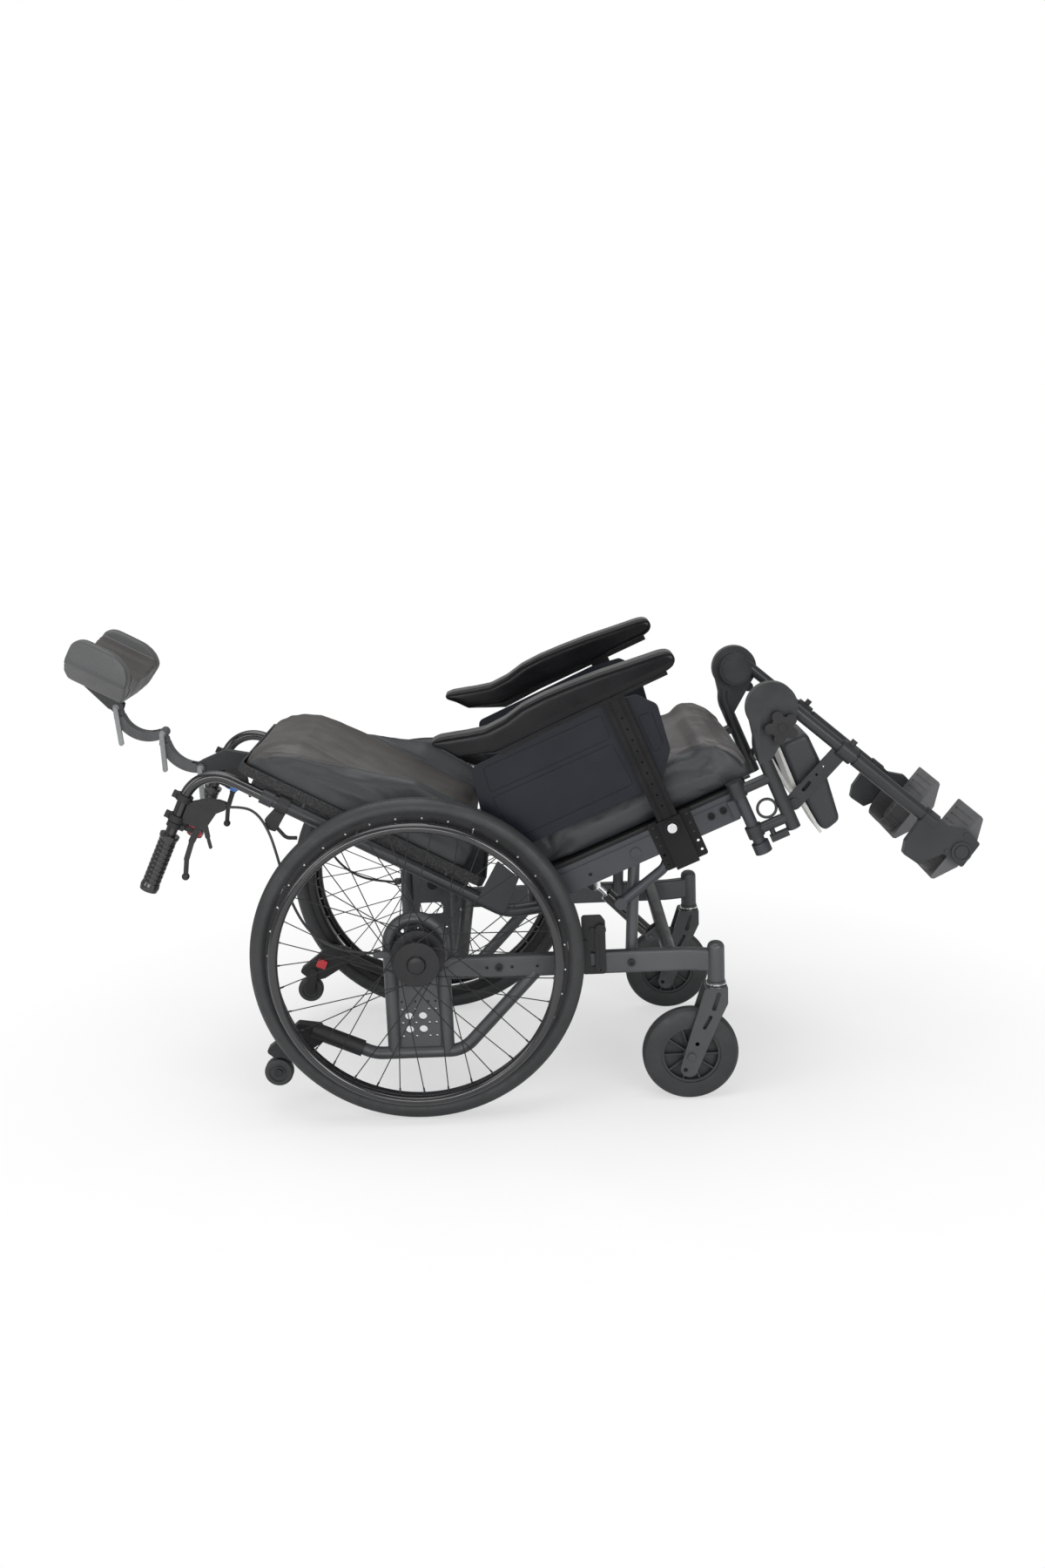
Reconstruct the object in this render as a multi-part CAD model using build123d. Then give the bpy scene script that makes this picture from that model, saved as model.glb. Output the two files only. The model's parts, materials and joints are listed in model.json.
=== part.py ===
from build123d import *
from math import cos, degrees, atan2, hypot, pi, radians, sin
import os

# Tilt in space wheelchair, in millimetres. +X points forward, +Y to the sitter's left, +Z up,
# and the floor is Z = 0. Sizes are worked out with the rear axle at X = 0; every piece is then
# moved so that the origin lies on the floor under the middle of the whole chair.
# Each side piece is drawn on the sitter's right, at negative Y, and mirrored to the left.

# ---------------------------------------------------------------- driving sizes
MIDDLE_X = 198.445           # middle of the chair's length, ahead of the rear axle

TILT = 22.5                 # seat slope as it stands, front up
BACK_ANGLE = 38.8           # back laid this far behind square to the seat
TILT_X, TILT_Z = 406.0, 479.0
RECLINE_S, RECLINE_H = -175.0, -38.0      # recline pivot in the seat's own axes

RUN = 0.05                  # radial clearance of turning fits
SLIDE = 0.3                 # clearance of sliding fits

WHEEL_R = 305.0
WHEEL_Y = 285.0
TYRE_SECTION_R = 17.5
TYRE_HEIGHT = 29.3           # tread to rim bed
RIM_OUTER_R = WHEEL_R - TYRE_HEIGHT
RIM_DEPTH = 16.7
RIM_INNER_R = RIM_OUTER_R - RIM_DEPTH
RIM_HALF_WIDTH = 12.0
SPOKE_R = 1.0
SPOKES = 36
HANDRIM_R = RIM_INNER_R - 1.0
HANDRIM_TUBE_R = 9.0
HANDRIM_OFFSET = 36.0
AXLE_R = 6.35
DRUM_R = 50.0
HUB_INNER = -35.0
HUB_CAP_R = 42.0
HUB_OUTER = 25.0

CASTER_R = 90.0
CASTER_X, CASTER_Y = 499.0, 240.0
CASTER_HALF_WIDTH = 17.0
CASTER_RIM_R = 55.5
CASTER_SPOKES = 10
STEM_X = 549.0
STEM_R = 10.0
BARREL_R = 16.0
BARREL_BOTTOM, BARREL_TOP = 231.0, 306.0
FORK_GAP = 21.0
FORK_PLATE = 4.0
FORK_TOP = 222.0
CASTER_AXLE_R = 6.0

RAIL_Y = 225.0
RAIL_WIDTH = 22.0
RAIL_HEIGHT = 42.0
RAIL_Z = 269.0
RAIL_REAR = 40.0
RAIL_BEND_X = 500.0
ARCH_TUBE_R = 12.7
ARCH_X = (-56.0, 44.0)
ARCH_TOP = 367.0
LOWER_TUBE_R = 12.0
LOWER_TUBE_Z = 104.0
AXLE_PLATE = 6.0
POST_R = 11.0
EYE_HALF = 11.5
POST_Y = 206.0
EYE_R = 15.0
PIN_R = 6.0
CROSS_TUBE_R = 13.0
FRONT_CROSS_X, FRONT_CROSS_Z = 465.0, 279.0
REAR_CROSS_X, REAR_CROSS_Z = 75.0, 269.0

SEAT_RAIL_Y = 228.0
SEAT_RAIL_WIDTH = 20.0
SEAT_RAIL_LOW, SEAT_RAIL_TOP = -21.0, 30.0
SEAT_RAIL_REAR, SEAT_RAIL_FRONT = -200.0, 200.0
SEAT_TUBE_R = 12.0
SEAT_TUBE_H = -5.0
SEAT_TUBES_S = (-110.0, 42.0, 180.0)
BRACE_R = 9.4
PAN_THICK = 6.0
CUSHION_REAR, CUSHION_FRONT = -186.0, 256.0
CUSHION_HALF_WIDTH = 221.0
CUSHION_HEIGHT = 104.0

STRUT_R = 13.0
STRUT_ROD_R = 5.0
STRUT_PIN_R = 4.0
STRUT_SLOT_R = 8.0
LUG_THICK = 5.0
TILT_STRUT_Y = -60.0
TILT_STRUT_TOP = (-106.0, -69.0)          # rod end, seat axes
TILT_STRUT_LENGTH = 154.0
RECLINE_STRUT_Y = 60.0
RECLINE_LUG = 75.0                        # lever length below the recline pivot
RECLINE_STRUT_LENGTH = 160.0
RECLINE_STRUT_RISE = 25.0                 # slope of the strut to the seat

SOCKET_S = (38.0, 121.0)
SOCKET_H = (-55.0, 40.0)
SOCKET_PLATE = 3.0
POST_S, POST_WIDTH, POST_DEPTH = 79.0, 38.0, 16.0
POST_H = (-38.0, 284.0)
ARM_PAD_Y = 257.0
ARM_PAD_HALF = 29.0
GUARD_THICK = 5.0
PAD_STATIONS = (                          # along the seat, underside, top
    (-246, 340, 349),
    (-230, 325, 349.5),
    (-212, 303, 345),
    (-180, 293, 336),
    (-149, 284, 329),
    (-110, 285, 331),
    (-72, 286, 339.5),
    (-30, 287, 341.5),
    (20, 287.6, 340),
    (76, 288.2, 336.5),
    (132, 289, 330.5),
    (184, 289.5, 325.5),
    (198, 293, 322),
    (206, 302, 314),
)

CANE_Y = 205.0
CANE_R = 12.5
CANE_BACK = 54.0                          # canes behind the recline pivot
CANE_TOP = 578.0
HANDLE_R = 10.5
HANDLE_UP = 706.0
HANDLE_END = 309.0
HANDLE_DROP = 14.0
HANDLE_BEND = 62.0
GRIP_R = 16.5
GRIP_START = 197.0
SHELL_BACK, SHELL_FRONT = 34.0, 16.0
SHELL_LOW, SHELL_TOP = 138.0, 638.0
SHELL_WALL = 3.5
SHELL_CORNER = 22.0
SHELL_HALF_WIDTH = 207.0
BACK_CUSHION_LOW = 182.0

HEAD_PIVOTS = ((-113.0, 717.0), (-83.0, 811.0), (-75.0, 912.0))
HEAD_ARC_MIDS = ((-121.0, 764.0), (-107.0, 861.0))
LINK_HEIGHT = 18.0
LINK_HALF_WIDTH = 13.0
LINK_SWEEP = 20.5                         # room each link needs about its neighbour's pin
HEAD_LOW, HEAD_TOP = 890.0, 1014.0
HEAD_BACK = -52.0                         # back face of the pad
HEAD_PLATE = 70.0

LEG_Y = 247.0
LEG_POST_S = 213.0
LEG_POST_R = 11.0
LEG_POST_H = (-93.0, 44.0)
HANGER_S = 280.0
HANGER_R = 12.5
KNEE = (328.0, 148.0)
KNEE_R = 46.0
LEG_TUBE_Y = 224.0
LEG_TUBE_R = 11.45
FOOT_TUBE_R = 13.5
LEG_TUBE_TOP = (352.0, 148.0)
FOOT_END = (508.0, -163.0)
FOOT_HINGE = (540.0, -247.0)
CLAMP_AT = 170.0                          # along the leg tube
FOOT_TUBE_OVERLAP = 95.0
FOOT_PIN_R = 6.0
CALF_HINGE = (299.0, -36.0)
PLATE_HALF_LENGTH = 74.0
PLATE_Y = (76.0, 221.0)
PLATE_TOP, PLATE_BOTTOM = 8.5, -19.5
PLATE_ANGLE = 28.6


# ---------------------------------------------------------------- helpers
def turned(x, z, angle):
    """The point (x, z) turned by angle degrees, front end up."""
    a = radians(angle)
    return x * cos(a) - z * sin(a), x * sin(a) + z * cos(a)


SEAT = Pos(TILT_X, 0, TILT_Z) * Rot(0, -TILT, 0)
BACK = SEAT * Pos(RECLINE_S, 0, RECLINE_H) * Rot(0, -BACK_ANGLE, 0)


def rod(start, end, radius):
    """A round bar between two points."""
    axis = Vector(*end) - Vector(*start)
    return extrude(Plane(origin=start, z_dir=axis) * Circle(radius), amount=axis.length)


def pipe(points, radius, bends):
    """A round bar along straight runs joined by bends of the given radii."""
    path = FilletPolyline(*points, radius=bends)
    return sweep(Plane(origin=path @ 0, z_dir=path % 0) * Circle(radius), path=path)


def prism(sketch, y_low, y_high):
    """A sketch in X and Z carried across from y_low to y_high."""
    plane = Plane(origin=(0, y_high, 0), x_dir=(1, 0, 0), z_dir=(0, -1, 0))
    return extrude(plane * sketch, amount=y_high - y_low)


def disc(x, z, radius, y_low, y_high):
    """A round plate or pin across the chair."""
    return prism(Pos(x, z) * Circle(radius), y_low, y_high)


def strap(start, end, width):
    """The outline of a flat bar with round ends, from one hole to the other."""
    length = hypot(end[0] - start[0], end[1] - start[1])
    angle = degrees(atan2(end[1] - start[1], end[0] - start[0]))
    middle = Pos((start[0] + end[0]) / 2, (start[1] + end[1]) / 2)
    return middle * Rot(0, 0, angle) * SlotCenterToCenter(length, width)


def panel(points, radius):
    """A polygon with all its corners rounded."""
    face = make_face(Polyline(*points, close=True))
    return fillet(face.vertices(), radius)


def mirrored(shape):
    return mirror(shape, about=Plane.XZ)


def group(*shapes):
    """Separate solids kept in one node."""
    return Compound([solid for shape in shapes for solid in shape.solids()])


def save(name, shape):
    export_step(Pos(-MIDDLE_X, 0, 0) * shape, f"parts/{name}.step")


def save_pair(name, right):
    save(name + "_right", right)
    save(name + "_left", mirrored(right))


# ---------------------------------------------------------------- rear wheels
WHEEL = Pos(0, -WHEEL_Y, WHEEL_R) * Rot(90, 0, 0)      # local +Z points outboard


def polar(radius, angle, z):
    return radius * cos(radians(angle)), radius * sin(radians(angle)), z


def tyre():
    centre = WHEEL_R - TYRE_SECTION_R
    section = Pos(centre, 0) * Circle(TYRE_SECTION_R)
    bed = RIM_OUTER_R + SLIDE
    section -= Pos(bed - TYRE_HEIGHT, 0) * Rectangle(2 * TYRE_HEIGHT, 4 * TYRE_SECTION_R)
    for groove in (-6.0, 0.0, 6.0):
        section -= Pos(WHEEL_R - 0.6, groove) * Rectangle(3.0, 1.4)
    return revolve(Plane.XZ * section, axis=Axis.Z)


def spoked_wheel():
    rim = Polyline(
        (RIM_INNER_R, -6),
        (RIM_INNER_R + 4, -RIM_HALF_WIDTH),
        (RIM_OUTER_R, -RIM_HALF_WIDTH),
        (RIM_OUTER_R, RIM_HALF_WIDTH),
        (RIM_INNER_R + 4, RIM_HALF_WIDTH),
        (RIM_INNER_R, 6),
        close=True,
    )
    hub = Polyline(
        (AXLE_R + RUN, HUB_INNER),
        (DRUM_R, HUB_INNER),
        (DRUM_R, -20),
        (20, -16),
        (20, 14),
        (HUB_CAP_R, 18),
        (HUB_CAP_R, HUB_OUTER),
        (18, HUB_OUTER + 1),
        (15, HUB_OUTER + 6),
        (8, HUB_OUTER + 8),
        (0, HUB_OUTER + 8),
        (0, HUB_OUTER - 2),
        (AXLE_R + RUN, HUB_OUTER - 2),
        close=True,
    )
    solid = [revolve(Plane.XZ * make_face(shape), axis=Axis.Z) for shape in (rim, hub)]
    lacing = 54.0
    flanges = ((HUB_CAP_R - 4, 21.5), (DRUM_R - 4, -26.0))
    for number in range(SPOKES):
        angle = number * 360 / SPOKES
        flange_r, flange_z = flanges[number % 2]
        side = 1 if number % 4 < 2 else -1
        foot = polar(flange_r, angle + side * lacing, flange_z + side * 1.6)
        head = polar(RIM_INNER_R + 2, angle, 3 if number % 2 == 0 else -3)
        solid.append(rod(foot, head, SPOKE_R))
    return solid[0].fuse(*solid[1:])


def handrim():
    ring = Pos(0, 0, HANDRIM_OFFSET) * Torus(HANDRIM_R, HANDRIM_TUBE_R)
    for number in range(8):
        seat = polar(RIM_INNER_R + 6, number * 45 + 20, RIM_HALF_WIDTH)
        ring += rod(seat, (seat[0], seat[1], HANDRIM_OFFSET), 3.0)
    return ring


# ---------------------------------------------------------------- base
def arch_frame():
    """The upright hoop that carries the wheel axle, with its perforated plate."""
    low = LOWER_TUBE_Z
    points = [(ARCH_X[0], low), (ARCH_X[0], ARCH_TOP), (ARCH_X[1], ARCH_TOP), (ARCH_X[1], low)]
    hoop = pipe([(x, -RAIL_Y, z) for x, z in points], ARCH_TUBE_R, [49.0, 49.0])
    middle = (ARCH_X[0] + ARCH_X[1]) / 2
    plate_half = (ARCH_X[1] - ARCH_X[0]) / 2 - ARCH_TUBE_R + 2
    plate = Pos(middle, (low + 332) / 2) * Rectangle(2 * plate_half, 332 - low)
    plate += Pos(middle, 332) * Circle(plate_half)
    plate -= Pos(middle, 248) * RectangleRounded(50, 26, 6)
    for x in (-26.0, 0.0):
        for z in (149.5, 175.5, 345.0):
            plate -= Pos(x, z) * Circle(7.6)
    for x in (-38.0, -13.0, 12.0, 25.0):
        for z in (136.0, 162.5, 189.0, 205.0):
            plate -= Pos(x, z) * Circle(2.4)
    return hoop + prism(plate, -RAIL_Y - AXLE_PLATE / 2, -RAIL_Y + AXLE_PLATE / 2)


def tail_point(distance):
    """A point on the rising tail of the lower tube, where the anti-tip arm sits."""
    return -92 - distance * cos(radians(24)), LOWER_TUBE_Z + distance * sin(radians(24))


def base_frame():
    frame = arch_frame()
    path = FilletPolyline(
        (RAIL_REAR, -RAIL_Y, RAIL_Z),
        (RAIL_BEND_X, -RAIL_Y, RAIL_Z),
        (STEM_X, -CASTER_Y, RAIL_Z),
        radius=60,
    )
    section = Plane(origin=path @ 0, x_dir=(0, 1, 0), z_dir=path % 0)
    rail = sweep(section * RectangleRounded(RAIL_WIDTH, RAIL_HEIGHT, 5), path=path)
    for x in (124.5, 171.5, 218.5):
        rail -= disc(x, RAIL_Z, 3.0, -RAIL_Y - 20, -RAIL_Y - 4)
    frame += rail
    barrel_height = BARREL_TOP - BARREL_BOTTOM
    barrel = Pos(STEM_X, -CASTER_Y, BARREL_BOTTOM + barrel_height / 2) * Cylinder(BARREL_R, barrel_height)
    barrel = fillet(barrel.faces().sort_by(Axis.Z)[-1].edges(), 12)
    frame += barrel
    frame -= rod((STEM_X, -CASTER_Y, 200), (STEM_X, -CASTER_Y, 294), STEM_R + RUN)
    tail = tail_point(75)
    lower = [
        (tail[0], tail[1]),
        (-92, LOWER_TUBE_Z),
        (73, LOWER_TUBE_Z),
        (216, 256),
    ]
    frame += pipe([(x, -RAIL_Y, z) for x, z in lower], LOWER_TUBE_R, [70, 60])
    frame += rod((394, -POST_Y, RAIL_Z - 8), (TILT_X - 1, -POST_Y, TILT_Z - 8), POST_R)
    frame += disc(TILT_X, TILT_Z, EYE_R, -POST_Y - EYE_HALF, -POST_Y + EYE_HALF)
    frame -= disc(TILT_X, TILT_Z, PIN_R + RUN, -POST_Y - 30, -POST_Y + 30)
    frame += disc(0, WHEEL_R, 22, -248.5, -213)
    frame += disc(0, WHEEL_R, 46, -249.0, -244.5)
    frame += prism(strap((-30, WHEEL_R), (-78, WHEEL_R + 0.5), 12), -249, -244.5)
    frame += Pos(-77.4, -239, WHEEL_R + 1) * Box(12, 12, 11)
    frame -= disc(0, WHEEL_R, AXLE_R, -260, -200)
    return frame


def cross_tubes():
    reach = RAIL_Y - RAIL_WIDTH / 2
    front = rod((FRONT_CROSS_X, -reach, FRONT_CROSS_Z), (FRONT_CROSS_X, reach, FRONT_CROSS_Z), CROSS_TUBE_R)
    pivot = strut_foot()
    lugs = strap((FRONT_CROSS_X, FRONT_CROSS_Z), pivot, 22)
    lugs -= Pos(*pivot) * Circle(STRUT_PIN_R)
    for y in lug_faces(TILT_STRUT_Y):
        front += prism(lugs, *y)
    rear = rod((REAR_CROSS_X, -reach, REAR_CROSS_Z), (REAR_CROSS_X, reach, REAR_CROSS_Z), CROSS_TUBE_R)
    return group(front, rear)


def lug_faces(y):
    """The two plates of a clevis, either side of a strut end."""
    inner = STRUT_PIN_R + 5.5
    return (y - inner - LUG_THICK, y - inner), (y + inner, y + inner + LUG_THICK)


def seat_point(s, h):
    """World X and Z of a point in the seat's axes."""
    x, z = turned(s, h, TILT)
    return TILT_X + x, TILT_Z + z


def strut_travel():
    """Unit vector of the tilt strut in world axes, from its head to its foot."""
    rest = turned(*TILT_STRUT_TOP, TILT)
    level = TILT_STRUT_TOP
    x, z = rest[0] - level[0], rest[1] - level[1]
    length = hypot(x, z)
    return x / length, z / length


def strut_foot():
    head = seat_point(*TILT_STRUT_TOP)
    x, z = strut_travel()
    return head[0] + TILT_STRUT_LENGTH * x, head[1] + TILT_STRUT_LENGTH * z


def strut_pieces(head, foot, y):
    """Rod and cylinder of a gas strut between a head pivot and a foot pivot, in one X-Z plane."""
    length = hypot(foot[0] - head[0], foot[1] - head[1])
    x, z = (foot[0] - head[0]) / length, (foot[1] - head[1]) / length

    def along(distance):
        return head[0] + distance * x, y, head[1] + distance * z

    eye = STRUT_PIN_R + 5
    cylinder = rod(along(34), along(length - 13), STRUT_R)
    cylinder += rod(along(length - 14), along(length - 4), STRUT_R / 2)
    cylinder += disc(foot[0], foot[1], STRUT_PIN_R + 5, y - eye, y + eye)
    reach = STRUT_PIN_R + 5.5 + LUG_THICK
    cylinder += disc(foot[0], foot[1], STRUT_PIN_R, y - reach - 2, y + reach + 2)
    cylinder -= rod(along(30), along(length - 28), STRUT_ROD_R + RUN)
    piston = rod(along(6), along(length - 62), STRUT_ROD_R)
    piston += disc(head[0], head[1], STRUT_PIN_R + 5, y - eye, y + eye)
    piston += disc(head[0], head[1], STRUT_PIN_R, y - reach - 1.5, y + reach + 1.5)
    for face in (y - reach - 3.5, y + reach + 0.5):
        piston += disc(head[0], head[1], STRUT_SLOT_R + 4, face, face + 3)
    return piston, cylinder


def base_fittings():
    """Axle pins, rail bolts and the two-bolt brackets ahead of the wheels."""
    solids = []
    axle_tip = WHEEL_Y + HUB_OUTER - 4
    axle = disc(0, WHEEL_R, AXLE_R, -axle_tip, -206)
    axle += disc(0, WHEEL_R, 11, -213, -206)
    solids.append(axle)
    for x in (147.0, 393.0):
        bolt = disc(x, RAIL_Z, 7, -RAIL_Y - 16, -RAIL_Y - 11)
        bolt -= prism(Pos(x, RAIL_Z) * RegularPolygon(3.2, 6), -RAIL_Y - 16, -RAIL_Y - 13)
        solids.append(bolt)
    outline = panel([(302, 250), (346, 250), (346, 352), (338, 364), (302, 364)], 6)
    outline -= strap((322, 268), (322, 292), 8)
    for x, z in ((322, 336), (309, 312), (334, 258)):
        outline -= Pos(x, z) * Circle(3)
    bracket = prism(outline, -RAIL_Y - 15, -RAIL_Y - 11)
    bracket += disc(337, 338, 10, -RAIL_Y - 24, -RAIL_Y - 15)
    bracket += prism(Pos(330, 300) * Rectangle(8, 90), -RAIL_Y - 18, -RAIL_Y - 15)
    solids.append(bracket)
    for x, z in ((322, 336), (309, 312)):
        pin = disc(x, z, 3, -RAIL_Y - 15, -RAIL_Y - 11)
        solids.append(pin + disc(x, z, 5.5, -RAIL_Y - 18.5, -RAIL_Y - 15))
    return group(*solids, *[mirrored(solid) for solid in solids])


# ---------------------------------------------------------------- casters
def fork_bar():
    outline = panel(
        [(527, FORK_TOP), (568, FORK_TOP), (568, 192), (550, 154), (510, 62), (480, 74), (499, 138)],
        5,
    )
    outline += Pos(494.5, 66) * Circle(16.5)
    outline -= strap((551, 210), (542, 182), 8)
    outline -= strap((535, 166), (524, 146), 7)
    for x, z in ((510, 114), (487.5, 64)):
        outline -= Pos(x, z) * Circle(4)
    return outline


def caster_fork():
    fork = rod((STEM_X, -CASTER_Y, FORK_TOP), (STEM_X, -CASTER_Y, 292), STEM_R)
    fork += rod((STEM_X, -CASTER_Y, FORK_TOP), (STEM_X, -CASTER_Y, BARREL_BOTTOM - 0.5), BARREL_R + 1)
    reach = FORK_GAP + FORK_PLATE
    crown = Box(40, 2 * reach, 5, align=(Align.CENTER, Align.CENTER, Align.MAX))
    fork += Pos(STEM_X - 1, -CASTER_Y, FORK_TOP) * crown
    for side in (-1, 1):
        face = sorted((-CASTER_Y + side * FORK_GAP, -CASTER_Y + side * reach))
        fork += prism(fork_bar(), *face)
    fork += disc(CASTER_X, CASTER_R, CASTER_AXLE_R, -CASTER_Y - reach - 3, -CASTER_Y + reach + 3)
    for side in (-1, 1):
        washer = sorted((-CASTER_Y + side * (CASTER_HALF_WIDTH + 0.5), -CASTER_Y + side * FORK_GAP))
        fork += disc(CASTER_X, CASTER_R, 10, *washer)
        head = sorted((-CASTER_Y + side * reach, -CASTER_Y + side * (reach + 4)))
        fork += prism(Pos(CASTER_X, CASTER_R) * RegularPolygon(8, 6), *head)
    return fork


def caster_wheel():
    core_half = CASTER_HALF_WIDTH - 3
    core = Cylinder(CASTER_RIM_R, 2 * core_half) - Cylinder(CASTER_RIM_R - 5, 2 * core_half)
    core += Cylinder(15, 2 * CASTER_HALF_WIDTH)
    core += Cylinder(CASTER_RIM_R - 2, 4)
    for number in range(CASTER_SPOKES):
        rib = Pos((CASTER_RIM_R + 8) / 2, 0, 0) * Box(CASTER_RIM_R - 14, 3, 2 * core_half - 4)
        core += Rot(0, 0, number * 360 / CASTER_SPOKES) * rib
    core -= Cylinder(CASTER_AXLE_R + RUN, 3 * CASTER_HALF_WIDTH)
    inner = CASTER_RIM_R + 0.2
    half = CASTER_HALF_WIDTH - 1
    points = [
        (inner, -half),
        (CASTER_R - 16, -half),
        (CASTER_R - 5, -half + 4),
        (CASTER_R, -5),
        (CASTER_R, 5),
        (CASTER_R - 5, half - 4),
        (CASTER_R - 16, half),
        (inner, half),
    ]
    section = make_face(Polyline(*points, close=True))
    section = fillet(section.vertices().group_by(Axis.X)[-1] + section.vertices().group_by(Axis.X)[-2], 4)
    tread = revolve(Plane.XZ * section, axis=Axis.Z)
    return Pos(CASTER_X, -CASTER_Y, CASTER_R) * Rot(90, 0, 0) * group(core, tread)


# ---------------------------------------------------------------- anti-tip wheels
TIP_WHEEL = (-277.0, 76.0)
TIP_WHEEL_R = 27.0


def anti_tip_arm():
    y = -RAIL_Y
    start, inside, end = tail_point(26), tail_point(78), tail_point(128)
    arm = rod((start[0], y, start[1]), (end[0], y, end[1]), 15.5)
    shoulder = tail_point(110)
    outline = panel(
        [
            (shoulder[0] + 6, shoulder[1] - 13),
            (shoulder[0] + 2, shoulder[1] + 17),
            (shoulder[0] - 42, shoulder[1] + 24),
            (shoulder[0] - 66, shoulder[1] + 2),
            (TIP_WHEEL[0] - 22, TIP_WHEEL[1] + 44),
            (TIP_WHEEL[0] + 6, TIP_WHEEL[1] + 20),
            (TIP_WHEEL[0] + 34, TIP_WHEEL[1] + 26),
        ],
        7,
    )
    outline -= Pos(*TIP_WHEEL) * Circle(TIP_WHEEL_R + 4)
    arm += prism(outline, y - 11, y + 11)
    leg = strap((TIP_WHEEL[0] + 8, TIP_WHEEL[1] + 40), TIP_WHEEL, 20)
    arm += prism(leg, y + 11, y + 15)
    arm += disc(*TIP_WHEEL, 5, y - 13, y + 15)
    arm += disc(*TIP_WHEEL, 8, y - 14, y - 11.5)
    mouth = (start[0] + 5, y, start[1] - 5 * sin(radians(24)) / cos(radians(24)))
    arm -= rod(mouth, (inside[0], y, inside[1]), LOWER_TUBE_R + RUN)
    button = Pos(TIP_WHEEL[0] + 29, y + 14, TIP_WHEEL[1] + 60) * Rot(0, 24, 0) * Box(21, 6, 19)
    button = fillet(button.edges().filter_by(Axis.Y), 3)
    return group(arm, button)


def anti_tip_wheel():
    wheel = Cylinder(TIP_WHEEL_R, 20)
    wheel = fillet(wheel.edges(), 4)
    for side in (-1, 1):
        groove = Pos(0, 0, side * 10) * (Cylinder(18, 5) - Cylinder(12, 5))
        wheel -= groove
    wheel -= Cylinder(5 + RUN, 30)
    return Pos(TIP_WHEEL[0], -RAIL_Y, TIP_WHEEL[1]) * Rot(90, 0, 0) * wheel


# ---------------------------------------------------------------- seat
def outer_face():
    """Outer face of the right seat rail."""
    return -SEAT_RAIL_Y - SEAT_RAIL_WIDTH / 2


def seat_rail():
    outer = outer_face()
    inner = outer + SEAT_RAIL_WIDTH
    outline = panel(
        [
            (SEAT_RAIL_REAR, SEAT_RAIL_LOW + 8),
            (SEAT_RAIL_REAR + 12, SEAT_RAIL_LOW),
            (SEAT_RAIL_FRONT, SEAT_RAIL_LOW),
            (SEAT_RAIL_FRONT, SEAT_RAIL_TOP),
            (SEAT_RAIL_REAR, SEAT_RAIL_TOP),
        ],
        3,
    )
    rail = prism(outline, outer, inner)
    groove = Rectangle(SEAT_RAIL_FRONT - SEAT_RAIL_REAR + 20, 3)
    rail -= prism(Pos(0, SEAT_RAIL_TOP - 9) * groove, outer - 1, outer + 1.5)
    rail -= disc(-92, -2, 3.5, outer - 1, outer + 8)
    return rail


def seat_frame():
    rail = seat_rail()
    inner = -SEAT_RAIL_Y + SEAT_RAIL_WIDTH / 2
    # plate and pin of the recline pivot
    plate_points = [(-200, 20), (-200, -52), (-188, -60), (-164, -60), (-148, -40), (-140, -20), (-140, 20)]
    plate = panel(plate_points, 6)
    side = rail + prism(plate, inner - 8, inner)
    head = -CANE_Y + CANE_R + 0.5
    side += disc(RECLINE_S, RECLINE_H, PIN_R, inner - 10, head + 3)
    side += disc(RECLINE_S, RECLINE_H, PIN_R + 5, head, head + 3)
    side += disc(RECLINE_S, RECLINE_H, PIN_R + 4, inner - 12, inner - 8)
    # pin of the tilt pivot
    side += disc(0, 0, PIN_R, -SEAT_RAIL_Y - 12, -POST_Y + EYE_HALF + 3)
    side += disc(0, 0, PIN_R + 5, -POST_Y + EYE_HALF + 0.5, -POST_Y + EYE_HALF + 4)
    side += disc(0, 0, PIN_R + 4, -SEAT_RAIL_Y - 13, -SEAT_RAIL_Y - 10)
    # curved brace under the rail
    brace = [(66, SEAT_RAIL_LOW + 8), (37, -50), (-64, -78)]
    brace_y = outer_face() + BRACE_R
    side += pipe([(s, brace_y, h) for s, h in brace], BRACE_R, [30])
    side += disc(-64, -78, BRACE_R + 2, brace_y - BRACE_R, brace_y + BRACE_R)
    # upright post that the legrest hangs on
    post = rod((LEG_POST_S, -LEG_Y, LEG_POST_H[0]), (LEG_POST_S, -LEG_Y, LEG_POST_H[1]), LEG_POST_R)
    post += rod((LEG_POST_S, -LEG_Y, LEG_POST_H[0]), (LEG_POST_S, -LEG_Y, LEG_POST_H[0] + 20), LEG_POST_R + 5)
    bracket = Pos(LEG_POST_S - 12, -LEG_Y + 11, 1.5) * Box(26, 18, 34)
    side += post + bracket
    frame = [side, mirrored(side)]
    reach = -inner
    for s in SEAT_TUBES_S:
        frame.append(rod((s, -reach, SEAT_TUBE_H), (s, reach, SEAT_TUBE_H), SEAT_TUBE_R))
    lug = strap((SEAT_TUBES_S[0], SEAT_TUBE_H), TILT_STRUT_TOP, 24)
    lug -= Pos(*TILT_STRUT_TOP) * Circle(STRUT_SLOT_R)
    for y in lug_faces(TILT_STRUT_Y):
        frame.append(prism(lug, *y))
    return SEAT * frame[0].fuse(*frame[1:])


def recline_strut_head():
    """Pivot on the back's lever, in the seat's axes."""
    return RECLINE_S + RECLINE_LUG * sin(radians(RECLINE_STRUT_RISE + 17.5)), \
        RECLINE_H - RECLINE_LUG * cos(radians(RECLINE_STRUT_RISE + 17.5))


def recline_strut_foot():
    head = recline_strut_head()
    return head[0] + RECLINE_STRUT_LENGTH * cos(radians(RECLINE_STRUT_RISE)), \
        head[1] + RECLINE_STRUT_LENGTH * sin(radians(RECLINE_STRUT_RISE))


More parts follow.
